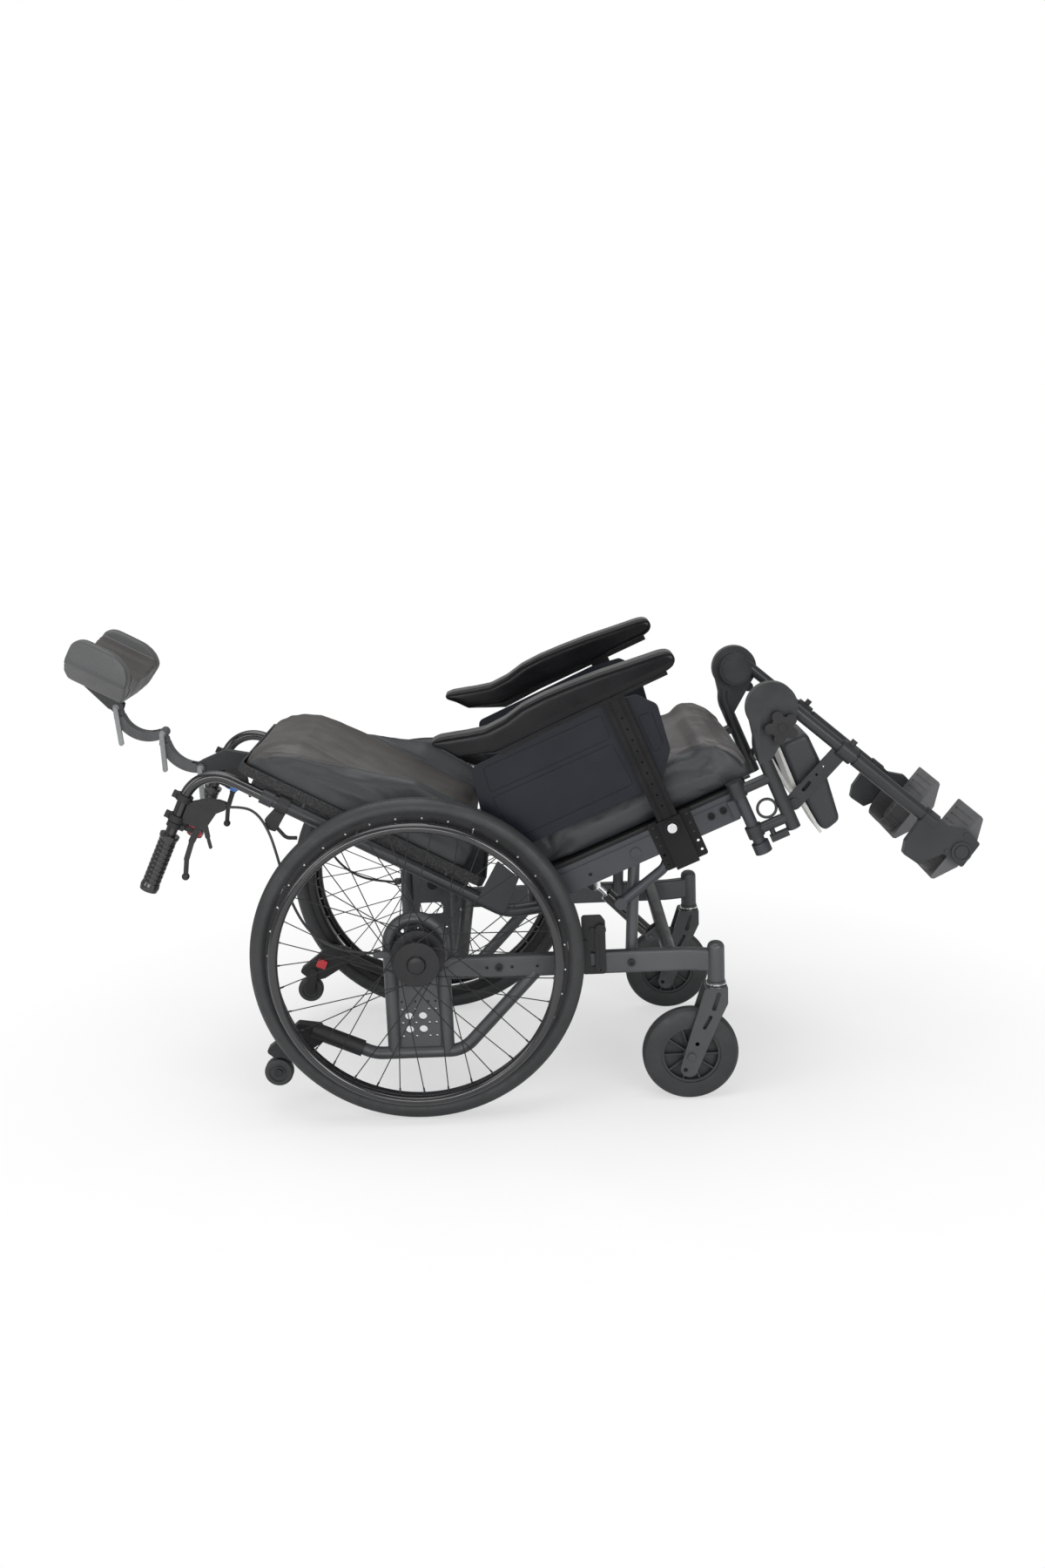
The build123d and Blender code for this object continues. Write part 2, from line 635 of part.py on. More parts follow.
def recline_lugs():
    """Pair of lugs on the middle cross tube, which hold the foot of the recline strut."""
    tube = (SEAT_TUBES_S[1], SEAT_TUBE_H)
    foot = recline_strut_foot()
    lug = strap(tube, foot, 22) - Pos(*foot) * Circle(STRUT_PIN_R)
    lug -= Pos(*tube) * Circle(SEAT_TUBE_R + RUN)
    return [prism(lug, *y) for y in lug_faces(RECLINE_STRUT_Y)]


def seat_pan():
    half = SEAT_RAIL_Y + 1
    pan = Pos((CUSHION_REAR + 234) / 2, 0, SEAT_RAIL_TOP + PAN_THICK / 2)
    pan = pan * Box(234 - CUSHION_REAR, 2 * half, PAN_THICK)
    pan = fillet(pan.edges().filter_by(Axis.Z), 12)
    return SEAT * pan


def seat_cushion():
    """A boxed foam cushion, crowned on top, with a front roll and a channel behind it."""
    base = SEAT_RAIL_TOP + PAN_THICK + 0.3

    def slice_at(s, height, half, crown):
        side = height - 12
        outline = [
            Line((-half + 6, 0), (half - 6, 0)),
            Line((half - 6, 0), (half, 8)),
            Line((half, 8), (half - 2, side)),
            Line((half - 2, side), (half - 14, height)),
            ThreePointArc((half - 14, height), (0, height + crown), (-half + 14, height)),
            Line((-half + 14, height), (-half + 2, side)),
            Line((-half + 2, side), (-half, 8)),
            Line((-half, 8), (-half + 6, 0)),
        ]
        plane = Plane(origin=(s, 0, base), x_dir=(0, 1, 0), z_dir=(1, 0, 0))
        return plane * make_face(Wire(outline))

    top = CUSHION_HEIGHT - 5
    half = CUSHION_HALF_WIDTH
    stations = [
        (CUSHION_REAR, top - 30, half - 11, 3),
        (CUSHION_REAR + 14, top - 6, half - 9, 4),
        (CUSHION_REAR + 48, top - 5, half - 8, 4),
        (CUSHION_REAR + 72, top - 5, half, 4),
        (CUSHION_REAR + 170, top - 4, half, 5),
        (CUSHION_FRONT - 118, top - 1, half, 6),
        (CUSHION_FRONT - 92, top - 7, half - 1, 4),
        (CUSHION_FRONT - 66, top, half, 6),
        (CUSHION_FRONT - 34, top - 5, half, 5),
        (CUSHION_FRONT - 10, top - 32, half - 3, 4),
        (CUSHION_FRONT, top - 62, half - 8, 3),
    ]
    return SEAT * loft([slice_at(*station) for station in stations], ruled=True)


def armrest_socket():
    outer = outer_face()
    middle_h = (SOCKET_H[0] + SOCKET_H[1]) / 2
    outline = panel(
        [
            (SOCKET_S[0], SOCKET_H[0]),
            (SOCKET_S[1], SOCKET_H[0]),
            (SOCKET_S[1], SOCKET_H[1]),
            (SOCKET_S[0], SOCKET_H[1]),
        ],
        5,
    )
    for s in (SOCKET_S[0] + 8, SOCKET_S[1] - 8):
        for step in range(5):
            outline -= Pos(s, SOCKET_H[0] + 12 + 18 * step) * Circle(2.6)
    socket = prism(outline, outer - SOCKET_PLATE, outer)
    wall = SOCKET_PLATE
    hollow_w = POST_WIDTH + 2 * SLIDE
    hollow_d = POST_DEPTH + 2 * SLIDE
    back_y = outer - SOCKET_PLATE
    box = Rectangle(hollow_w + 2 * wall, SOCKET_H[1] - SOCKET_H[0])
    channel = prism(Pos(POST_S, middle_h) * box, back_y - hollow_d - wall, back_y)
    hole = Rectangle(hollow_w, SOCKET_H[1] - SOCKET_H[0] + 40)
    channel -= prism(Pos(POST_S, middle_h) * hole, back_y - hollow_d, back_y)
    channel -= disc(POST_S, 21.6, 9 + RUN, back_y - hollow_d - wall - 2, back_y - hollow_d + 1)
    ring = disc(POST_S, 21.6, 16, back_y - hollow_d - wall - 2.5, back_y - hollow_d - wall)
    ring -= disc(POST_S, 21.6, 9 + RUN, back_y - hollow_d - wall - 9, back_y - hollow_d)
    return socket + channel + ring


def socket_front():
    """Outer face of the socket's channel."""
    return outer_face() - 2 * SOCKET_PLATE - POST_DEPTH - 2 * SLIDE


def release_button():
    front = socket_front()
    return fillet(disc(POST_S, 21.6, 9, front - 5.5, front + 0.4).edges(), 0.8)


def seat_fittings():
    outer = outer_face()
    solids = [armrest_socket()]
    for s, h in ((152, 5.5), (176, 6.5)):
        bolt = disc(s, h, 6.5, outer - 4, outer)
        solids.append(bolt - prism(Pos(s, h) * RegularPolygon(3, 6), outer - 4, outer - 2))
    return SEAT * group(*solids, *[mirrored(solid) for solid in solids], *recline_lugs())


# ---------------------------------------------------------------- armrests
def armrest_post():
    """Grooved upright with the rail that the pad is screwed to."""
    back_y = outer_face() - SOCKET_PLATE - SLIDE
    front_y = back_y - POST_DEPTH
    upright = Pos(POST_S, (POST_H[0] + POST_H[1]) / 2) * Rectangle(POST_WIDTH, POST_H[1] - POST_H[0])
    post = prism(upright, front_y, back_y)
    for s in (-9.0, 9.0):
        slot = Pos(POST_S + s, (POST_H[0] + POST_H[1]) / 2) * Rectangle(4, POST_H[1] - POST_H[0] + 2)
        post -= prism(slot, front_y - 1, front_y + 2.5)
    for step in range(9):
        post -= disc(POST_S, 66 + 22 * step, 2, front_y - 1, front_y + 6)
    top = [(s, under) for s, under, crest in PAD_STATIONS if -215 < s < 190]
    low = [(top[-1][0], 280), (-60, 277), (-140, 272)]
    bar = make_face(Polyline(*top, *low, close=True))
    return SEAT * (post + prism(bar, front_y - 2, back_y))


def arm_pad():
    """Moulded pad: broad and flat in front, dipped behind, with a slanted tail."""
    sections = []
    for s, under, crest in PAD_STATIONS:
        height = crest - under
        corner = min(8, 0.42 * height)
        plane = Plane(origin=(s, -ARM_PAD_Y, (under + crest) / 2), x_dir=(0, 1, 0), z_dir=(1, 0, 0))
        sections.append(plane * RectangleRounded(2 * ARM_PAD_HALF, height, corner))
    return SEAT * loft(sections, ruled=True)


def skirt_guard():
    """Moulded side panel with raised borders round three blank fields."""
    y_out = outer_face() - SOCKET_PLATE - SLIDE
    outline = panel(
        [
            (-206, 270),
            (-226, 178),
            (-206, 97),
            (60, 99),
            (98, 104),
            (134, 150),
            (146, 236),
            (118, 268),
            (60, 276),
        ],
        14,
    )
    guard = prism(outline, y_out, y_out + GUARD_THICK)
    fields = (
        [(-196, 205), (44, 206), (50, 120), (-190, 116)],
        [(-186, 262), (48, 262), (46, 214), (-194, 213)],
        [(104, 232), (132, 230), (128, 168), (104, 150)],
    )
    for field in fields:
        border = panel(field, 8)
        guard -= prism(border - offset(border, amount=-2), y_out - 1, y_out + 1.0)
    return SEAT * guard


# ---------------------------------------------------------------- back
def back_frame():
    y = -CANE_Y
    side = pipe([(0, y, 2), (-CANE_BACK, y, 76), (-CANE_BACK, y, CANE_TOP)], CANE_R, [70])
    side += rod((-CANE_BACK, y, CANE_TOP - 24), (-CANE_BACK, y, CANE_TOP), CANE_R + 2.5)
    side += disc(0, 0, 17, y - CANE_R + 0.4, y + CANE_R - 0.4)
    side -= disc(0, 0, PIN_R + RUN, y - 20, y + 20)
    gusset = panel([(29, 137), (17, 87), (-56, 81), (-56, 138)], 3)
    side += prism(gusset, y - CANE_R, y - CANE_R + 3)
    for up in (210.0, 500.0):
        side += rod((-CANE_BACK, y + 4, up), (-SHELL_BACK, y + 4, up), 6)
    frame = [side, mirrored(side)]
    for up in (170.0, 470.0):
        frame.append(rod((-CANE_BACK, y, up), (-CANE_BACK, -y, up), 9))
    frame.append(rod((-24, y, 38), (-24, -y, 38), 9))
    lever = strap((-24, 38), recline_lever_end(), 22)
    lever -= Pos(*recline_lever_end()) * Circle(STRUT_SLOT_R)
    for face in lug_faces(RECLINE_STRUT_Y):
        frame.append(prism(lever, *face))
    return BACK * frame[0].fuse(*frame[1:])


def recline_lever_end():
    """The recline lever's hole, in the back's own axes."""
    head = recline_strut_head()
    return turned(head[0] - RECLINE_S, head[1] - RECLINE_H, -BACK_ANGLE)


def handle_path():
    """Centreline of a push handle, from the cane top back to the grip's end."""
    corner = (-CANE_BACK, HANDLE_UP)
    return [(-CANE_BACK, CANE_TOP), corner, (-HANDLE_END, HANDLE_UP - HANDLE_DROP)]


def handle_point(back):
    """Height of the handle's straight part at a distance behind the pivot."""
    share = (back - CANE_BACK) / (HANDLE_END - CANE_BACK)
    return -back, HANDLE_UP - HANDLE_DROP * share


def right_handle():
    return pipe([(x, -CANE_Y, z) for x, z in handle_path()], HANDLE_R, [HANDLE_BEND])


def push_grip():
    """Ridged rubber grip over the end of the right handle."""
    start, end = handle_point(GRIP_START), handle_point(HANDLE_END)
    slope = degrees(atan2(HANDLE_DROP, HANDLE_END - CANE_BACK))
    length = hypot(end[0] - start[0], end[1] - start[1])
    ridge_pitch = 9.0
    outline = [(HANDLE_R, 0), (GRIP_R + 2, 0), (GRIP_R + 2, 5), (GRIP_R, 9)]
    for step in range(10):
        at = 14 + ridge_pitch * step
        outline += [(GRIP_R, at), (GRIP_R - 1.2, at + 1), (GRIP_R - 1.2, at + 3), (GRIP_R, at + 4)]
    outline += [(GRIP_R + 1.5, length - 6), (GRIP_R, length + 3)]
    outline += [(0, length + 3), (0, length), (HANDLE_R, length)]
    grip = revolve(Plane.XZ * make_face(Polyline(*outline, close=True)), axis=Axis.Z)
    return Pos(start[0], -CANE_Y, start[1]) * Rot(0, -90 - slope, 0) * grip


def push_handle():
    return BACK * group(right_handle(), push_grip())


def back_shell():
    """Tray that holds the back cushion, with the hook strip down each side and the headrest mount."""
    depth = SHELL_BACK - SHELL_FRONT
    middle = (SHELL_LOW + SHELL_TOP) / 2
    height = SHELL_TOP - SHELL_LOW
    from_back = (Align.MIN, Align.CENTER, Align.CENTER)
    tray = Box(depth, 2 * SHELL_HALF_WIDTH, height, align=from_back)
    tray = fillet(tray.edges().filter_by(Axis.X), SHELL_CORNER)
    inner_half = SHELL_HALF_WIDTH - SHELL_WALL
    hollow = Box(depth, 2 * inner_half, height - 2 * SHELL_WALL, align=from_back)
    hollow = fillet(hollow.edges().filter_by(Axis.X), SHELL_CORNER - SHELL_WALL)
    tray = Pos(-SHELL_BACK, 0, middle) * (tray - Pos(SHELL_WALL, 0, 0) * hollow)
    pivot = HEAD_PIVOTS[0]
    plate = Pos(-SHELL_BACK - 3, 0, SHELL_TOP - 48) * Box(6, 60, 90)
    arm_outline = panel(
        [
            (-SHELL_BACK - 6, SHELL_TOP - 78),
            (-SHELL_BACK - 6, SHELL_TOP - 13),
            (-60, pivot[1] - 27),
            (pivot[0] + 9, pivot[1] + 9),
            (pivot[0] - 5, pivot[1] - 11),
            (-72, pivot[1] - 77),
        ],
        5,
    )
    mount = plate + prism(arm_outline, -9, 9)
    mount += disc(*pivot, 12, -9, 9)
    mount -= disc(*pivot, PIN_R + RUN, -20, 20)
    return BACK * group(tray, mount)


def back_cushion():
    """Contoured back cushion: thin at the shoulders, with deep side wings at the waist."""
    floor = -SHELL_BACK + SHELL_WALL + 0.3

    def slice_at(up, half, edge, middle):
        wing = half - 58
        outline = [
            Line((-half + 4, 0), (half - 4, 0)),
            Line((half - 4, 0), (half, 14)),
            Line((half, 14), (half - 3, edge - 16)),
            ThreePointArc((half - 3, edge - 16), (half - 10, edge - 4), (half - 22, edge)),
            ThreePointArc((half - 22, edge), (half - 40, (edge + middle) / 2 + 3), (wing, middle)),
            ThreePointArc((wing, middle), (0, middle - 4), (-wing, middle)),
            ThreePointArc((-wing, middle), (-half + 40, (edge + middle) / 2 + 3), (-half + 22, edge)),
            ThreePointArc((-half + 22, edge), (-half + 10, edge - 4), (-half + 3, edge - 16)),
            Line((-half + 3, edge - 16), (-half, 14)),
            Line((-half, 14), (-half + 4, 0)),
        ]
        plane = Plane(origin=(floor, 0, up), x_dir=(0, -1, 0), z_dir=(0, 0, 1))
        return plane * make_face(Wire(outline))

    half = SHELL_HALF_WIDTH - SHELL_WALL - 0.6
    stations = [
        (BACK_CUSHION_LOW, half - 8, 100, 76),
        (BACK_CUSHION_LOW + 22, half, 118, 86),
        (250, half, 123, 88),
        (335, half, 126, 86),
        (385, half, 106, 82),
        (455, half, 84, 78),
        (SHELL_TOP - 123, half - 1, 78, 84),
        (SHELL_TOP - 83, half - 2, 72, 84),
        (SHELL_TOP - 48, half - 5, 62, 73),
        (SHELL_TOP - 24, half - 10, 50, 58),
        (SHELL_TOP - 9, half - 18, 34, 40),
        (SHELL_TOP - 4, half - 28, 24, 27),
    ]
    return BACK * loft([slice_at(*station) for station in stations], ruled=True)


# ---------------------------------------------------------------- handle controls
LEVER_PIVOT = (-145.0, 656.0)


def lever_bracket():
    y = -CANE_Y
    ring_1, ring_2 = handle_point(122), handle_point(163)
    body = panel(
        [
            (-164, 690),
            (-126, 692),
            (-108, 668),
            (-98, 644),
            (-96, 628),
            (-108, 625),
            (-122, 638),
            (-160, 644),
        ],
        5,
    )
    bracket = prism(body, y - 8, y + 8)
    for ring in (ring_1, ring_2):
        bracket += rod((ring[0] - 6, y, ring[1]), (ring[0] + 6, y, ring[1]), HANDLE_R + 5)
        bracket += Pos(ring[0], y, ring[1] + HANDLE_R + 7) * Box(12, 10, 10)
    bracket -= prism(Pos(LEVER_PIVOT[0] - 16, LEVER_PIVOT[1]) * Rectangle(58, 40), y - 4.5, y + 4.5)
    bracket -= right_handle()
    bracket += disc(*LEVER_PIVOT, 3, y - 8, y + 8)
    hook = strap((-146, 650), (-168, 634), 9) + strap((-168, 634), (-184, 621), 6)
    bracket += prism(hook, y - 8, y - 4.5)
    return bracket


def brake_lever():
    """Flat curved blade with a round knob at its tip."""
    y = -CANE_Y
    knee, wrist, tip = (-190, 657), (-226, 652), (-258, 640)
    blade = strap(LEVER_PIVOT, knee, 12) + strap(knee, wrist, 9.5) + strap(wrist, tip, 8)
    lever = prism(blade, y - 3.2, y + 3.2)
    lever += disc(*LEVER_PIVOT, 8, y - 4, y + 4)
    knob = disc(*tip, 7, y - 6, y + 6)
    lever += fillet(knob.edges().filter_by(GeomType.CIRCLE), 4.5)
    lever -= disc(*LEVER_PIVOT, 3 + RUN, y - 10, y + 10)
    return BACK * lever


TRIGGER_PIVOT = (-176.0, 668.0)
TRIGGER_INSET = 16.0


def trigger():
    """Small finger trigger that frees a strut, hung inboard of the handle in front of the grip."""
    y = -CANE_Y + TRIGGER_INSET
    outline = panel([(-170, 676), (-183, 674), (-184, 650), (-176, 646), (-171, 656)], 2)
    return prism(outline, y - 4, y + 4) - disc(*TRIGGER_PIVOT, 2 + RUN, y - 10, y + 10)


def trigger_mount():
    y = -CANE_Y + TRIGGER_INSET
    at = handle_point(-TRIGGER_PIVOT[0])
    mount = rod((at[0] - 5, -CANE_Y, at[1]), (at[0] + 5, -CANE_Y, at[1]), HANDLE_R + 3)
    mount += prism(Pos(at[0], 683.5) * Rectangle(10, 8), -CANE_Y - 4, y + 7.5)
    for side in (-1, 1):
        face = sorted((y + side * 4.5, y + side * 7.5))
        mount += prism(strap(TRIGGER_PIVOT, (-176, 683), 10), *face)
    mount -= right_handle()
    mount += disc(*TRIGGER_PIVOT, 2, y - 7.5, y + 7.5)
    return mount


LOCK_PIVOT = (-96.0, 532.0)


def lock_mount():
    y = -CANE_Y
    pivot_x, pivot_z = LOCK_PIVOT
    mount = rod((-CANE_BACK, y, pivot_z - 8), (-CANE_BACK, y, pivot_z + 14), CANE_R + 4)
    mount += prism(
        panel(
            [
                (-66, pivot_z - 8),
                (-66, pivot_z + 14),
                (-92, pivot_z + 22),
                (-106, pivot_z + 10),
                (-104, pivot_z - 6),
            ],
            4,
        ),
        y - 8,
        y + 8,
    )
    mount -= prism(Pos(pivot_x - 4, pivot_z - 14) * Rectangle(36, 48), y - 4.5, y + 4.5)
    mount -= rod((-CANE_BACK, y, pivot_z - 40), (-CANE_BACK, y, pivot_z + 60), CANE_R)
    mount += disc(*LOCK_PIVOT, 3, y - 8, y + 8)
    return mount


def lock_lever():
    y = -CANE_Y
    end = (LOCK_PIVOT[0] - 3, LOCK_PIVOT[1] - 46)
    knee = (LOCK_PIVOT[0] - 12, LOCK_PIVOT[1] - 28)
    lever = pipe([(x, y, z) for x, z in (LOCK_PIVOT, knee, end)], 3.5, [16])
    lever += disc(*LOCK_PIVOT, 7, y - 4, y + 4)
    lever -= disc(*LOCK_PIVOT, 3 + RUN, y - 10, y + 10)
    return BACK * lever


def lever_brackets():
    right = [lever_bracket(), trigger_mount()]
    return BACK * group(*right, *[mirrored(piece) for piece in right], lock_mount())


# ---------------------------------------------------------------- headrest
def arc_band(low, middle, high, width):
    """A band of even width along an arc through three points, with round ends."""
    arc = ThreePointArc(low, middle, high)
    centre = arc.arc_center
    radius = arc.radius
    ring = Pos(centre.X, centre.Y) * (Circle(radius + width / 2) - Circle(radius - width / 2))
    chord_x, chord_y = high[0] - low[0], high[1] - low[1]
    length = hypot(chord_x, chord_y)
    bulge = (middle[0] - (low[0] + high[0]) / 2, middle[1] - (low[1] + high[1]) / 2)
    reach = hypot(*bulge)
    away = (bulge[0] / reach, bulge[1] / reach)
    corner = [
        low,
        high,
        (high[0] + away[0] * length, high[1] + away[1] * length),
        (low[0] + away[0] * length, low[1] + away[1] * length),
    ]
    window = make_face(Polyline(*corner, close=True))
    band = (ring & window) + Pos(*low) * Circle(width / 2) + Pos(*high) * Circle(width / 2)
    return band


def headrest_link(number):
    low, high = HEAD_PIVOTS[number], HEAD_PIVOTS[number + 1]
    band = arc_band(low, HEAD_ARC_MIDS[number], high, LINK_HEIGHT)
    half = LINK_HALF_WIDTH
    link = prism(band, -half, half)
    # slot at the low end for the tongue below, tongue at the high end for the next link
    link -= prism(Pos(*low) * Circle(LINK_SWEEP), -9.5, 9.5)
    for side in (-1, 1):
        face = sorted((side * 9, side * (half + 1)))
        link -= prism(Pos(*high) * Circle(LINK_SWEEP), *face)
    link += disc(*low, PIN_R, -half - 3, half + 3)
    link += disc(*low, PIN_R + 3, half, half + 5)
    link -= disc(*high, PIN_R + RUN, -half, half)
    lever = strap((low[0] - 2, low[1]), (low[0] - 62, low[1] - 34), 9)
    link += prism(lever, -half - 6, -half)
    return BACK * link


def headrest_pad():
    """Curved head pad with side wings, and the bracket behind it."""
    pivot = HEAD_PIVOTS[2]
    half = LINK_HALF_WIDTH
    pivot_s, pivot_u = pivot
    back_face = HEAD_BACK - 4
    outline = panel(
        [
            (pivot_s - 9, pivot_u - 10),
            (pivot_s + 9, pivot_u - 10),
            (back_face, pivot_u + 18),
            (back_face, pivot_u + 73),
            (back_face - 8, pivot_u + 73),
            (pivot_s - 9, pivot_u + 13),
        ],
        4,
    )
    bracket = prism(outline, -half, half) + disc(*pivot, 11, -half, half)
    bracket -= prism(Pos(*pivot) * Circle(LINK_SWEEP), -9.5, 9.5)
    bracket += disc(*pivot, PIN_R, -half - 3, half + 3)
    bracket += prism(strap((pivot_s - 2, pivot_u), (pivot_s - 60, pivot_u - 38), 9), -half - 6, -half)
    bracket += Pos(HEAD_BACK - 2, 0, (HEAD_LOW + HEAD_TOP) / 2 + 3) * Box(4, HEAD_PLATE, HEAD_PLATE)
    inner = [(60, -116), (30, -108), (6, -70), (0, -30), (0, 30), (6, 70), (30, 108), (60, 116)]
    outer = [(60, 138), (-4, 138), (-44, 90), (HEAD_BACK, 60)]
    outer += [(HEAD_BACK, -60), (-44, -90), (-4, -138), (60, -138)]
    outline = fillet(make_face(Polyline(*inner, *outer, close=True)).vertices(), 8)
    pad = extrude(Plane(origin=(0, 0, HEAD_LOW)) * outline, amount=HEAD_TOP - HEAD_LOW)
    # seen from the side the wings are rounded, most of all at the neck end
    profile = make_face(
        Wire(
            [
                Line((HEAD_BACK - 1, HEAD_LOW + 8), (-30, HEAD_LOW)),
                Line((-30, HEAD_LOW), (2, HEAD_LOW)),
                ThreePointArc((2, HEAD_LOW), (46, HEAD_LOW + 22), (60, HEAD_LOW + 66)),
                Line((60, HEAD_LOW + 66), (60, HEAD_TOP - 30)),
                ThreePointArc((60, HEAD_TOP - 30), (50, HEAD_TOP - 8), (28, HEAD_TOP)),
                Line((28, HEAD_TOP), (-30, HEAD_TOP)),
                Line((-30, HEAD_TOP), (HEAD_BACK - 1, HEAD_TOP - 14)),
                Line((HEAD_BACK - 1, HEAD_TOP - 14), (HEAD_BACK - 1, HEAD_LOW + 8)),
            ]
        )
    )
    pad = pad & prism(profile, -150, 150)
    return BACK * group(bracket, pad)


# ---------------------------------------------------------------- legrests
def hanger():
    y_out, y_in = -LEG_Y - 12, -LEG_Y + 10
    tube = rod((HANGER_S, -LEG_Y, -74), (HANGER_S, -LEG_Y, 70), HANGER_R)
    bend = [(HANGER_S, -LEG_Y, 40), (HANGER_S, -LEG_Y, 92), (KNEE[0] - 26, -LEG_Y, KNEE[1] - 8)]
    tube += pipe(bend, HANGER_R, [50])
    flank = make_face(Polyline((HANGER_S - 12, 62), (HANGER_S + 12, 62), (KNEE[0] + 28, KNEE[1] - 36),
                               (KNEE[0] - 40, KNEE[1] + 22), close=True))
    tube += prism(flank + Pos(*KNEE) * Circle(KNEE_R), y_out, y_in)
    for h in (30.5, -50.0):
        tube += rod((LEG_POST_S + 8, -LEG_Y, h), (HANGER_S, -LEG_Y, h), 10)
        tube += rod((LEG_POST_S, -LEG_Y, h - 11), (LEG_POST_S, -LEG_Y, h + 11), LEG_POST_R + 4.5)
    tube += rod((LEG_POST_S, -LEG_Y, 41), (LEG_POST_S, -LEG_Y, 50), LEG_POST_R + 4.5)
    tube -= rod((LEG_POST_S, -LEG_Y, -80), (LEG_POST_S, -LEG_Y, LEG_POST_H[1] + 0.5), LEG_POST_R + RUN)
    tube -= disc(*KNEE, 8 + RUN, y_out - 1, y_in + 1)
    tube -= disc(*KNEE, KNEE_R + 4, y_in, y_in + 20)
    ring = Torus(17, 2.6)
    latch = Pos(249, -LEG_Y, -20) * Rot(90, 0, 0) * ring
    latch += rod((249, -LEG_Y, -50), (249, -LEG_Y, -36), 3)
    tube += latch
    tube += Pos(251, -LEG_Y, -76) * Box(34, 14, 12)
    tube += rod((242, -LEG_Y, -72), (242, -LEG_Y, -52), 5)
    lobes = Circle(20)
    for number in range(5):
        lobes += Rot(0, 0, number * 72 + 90) * Pos(21, 0) * Circle(10)
    knob = prism(Pos(KNEE[0] + 1, KNEE[1] - 37) * lobes, y_out - 17, y_out - 3)
    knob += disc(KNEE[0] + 1, KNEE[1] - 37, 8, y_out - 19, y_out - 3)
    knob += disc(KNEE[0] + 1, KNEE[1] - 37, 6, y_out - 3, y_out)
    return SEAT * group(tube, knob)


def leg_axis(distance):
    """A point on the leg tube's centreline, that far below its top."""
    length = hypot(FOOT_END[0] - LEG_TUBE_TOP[0], FOOT_END[1] - LEG_TUBE_TOP[1])
    return LEG_TUBE_TOP[0] + (FOOT_END[0] - LEG_TUBE_TOP[0]) * distance / length, \
        LEG_TUBE_TOP[1] + (FOOT_END[1] - LEG_TUBE_TOP[1]) * distance / length


def leg_point(distance):
    s, h = leg_axis(distance)
    return s, -LEG_TUBE_Y, h


def leg_tube():
    y_face = -LEG_Y + 10.3
    head = disc(*KNEE, 33, y_face, -LEG_TUBE_Y + 12)
    head += disc(*KNEE, 28, -LEG_TUBE_Y + 12, -LEG_TUBE_Y + 15)
    head += disc(*KNEE, 8, -LEG_Y - 12, y_face)
    head += rod(leg_point(-6), leg_point(CLAMP_AT + FOOT_TUBE_OVERLAP), LEG_TUBE_R)
    head += rod(leg_point(CLAMP_AT - 32), leg_point(CLAMP_AT), LEG_TUBE_R + 5)
    knob_at = leg_axis(CLAMP_AT - 16)
    head += rod((knob_at[0], -LEG_TUBE_Y, knob_at[1]), (knob_at[0] + 23, -LEG_TUBE_Y, knob_at[1] + 11.5), 6)
    bar = strap(leg_axis(CLAMP_AT - 24), CALF_HINGE, 30)
    bar -= Pos(*CALF_HINGE) * Circle(5 + RUN)
    bar -= strap((324, -22), (338, -14.5), 7)
    for s, h in ((356, -6), (372, 2)):
        bar -= Pos(s, h) * Circle(2.5)
    head += prism(bar, -LEG_TUBE_Y - 3, -LEG_TUBE_Y + 2)
    return SEAT * head


def foot_tube():
    end = hypot(FOOT_END[0] - LEG_TUBE_TOP[0], FOOT_END[1] - LEG_TUBE_TOP[1])
    top = CLAMP_AT + 6
    tube = rod(leg_point(top), leg_point(end), FOOT_TUBE_R)
    tube += rod(leg_point(end - 8), leg_point(end + 20), FOOT_TUBE_R + 3)
    corner_x, corner_h = FOOT_END
    hinge_x, hinge_h = FOOT_HINGE
    block = panel(
        [
            (corner_x + 14, corner_h + 6),
            (corner_x + 28, corner_h - 27),
            (hinge_x + 24, hinge_h + 37),
            (hinge_x + 37, hinge_h - 1),
            (hinge_x - 10, hinge_h - 29),
            (hinge_x - 31, hinge_h + 10),
            (corner_x - 48, corner_h - 73),
            (corner_x - 66, corner_h - 43),
            (corner_x - 53, corner_h - 23),
            (corner_x - 14, corner_h + 2),
        ],
        5,
    )
    y_in = -PLATE_Y[1] - 0.4
    tube += prism(block, y_in - 16, y_in)
    tube += disc(*FOOT_HINGE, FOOT_PIN_R, y_in, y_in + 40)
    tube += disc(*FOOT_HINGE, 19, y_in - 20, y_in - 16)
    tube -= disc(*FOOT_HINGE, 14.5, y_in - 21, y_in - 18) - disc(*FOOT_HINGE, 12, y_in - 22, y_in - 17)
    for s, h in ((hinge_x + 19, hinge_h + 26), (hinge_x - 24, hinge_h + 12)):
        tube += disc(s, h, 4, y_in - 18, y_in - 15)
    tube -= rod(leg_point(top - 2), leg_point(CLAMP_AT + FOOT_TUBE_OVERLAP + 2), LEG_TUBE_R + RUN)
    return SEAT * tube


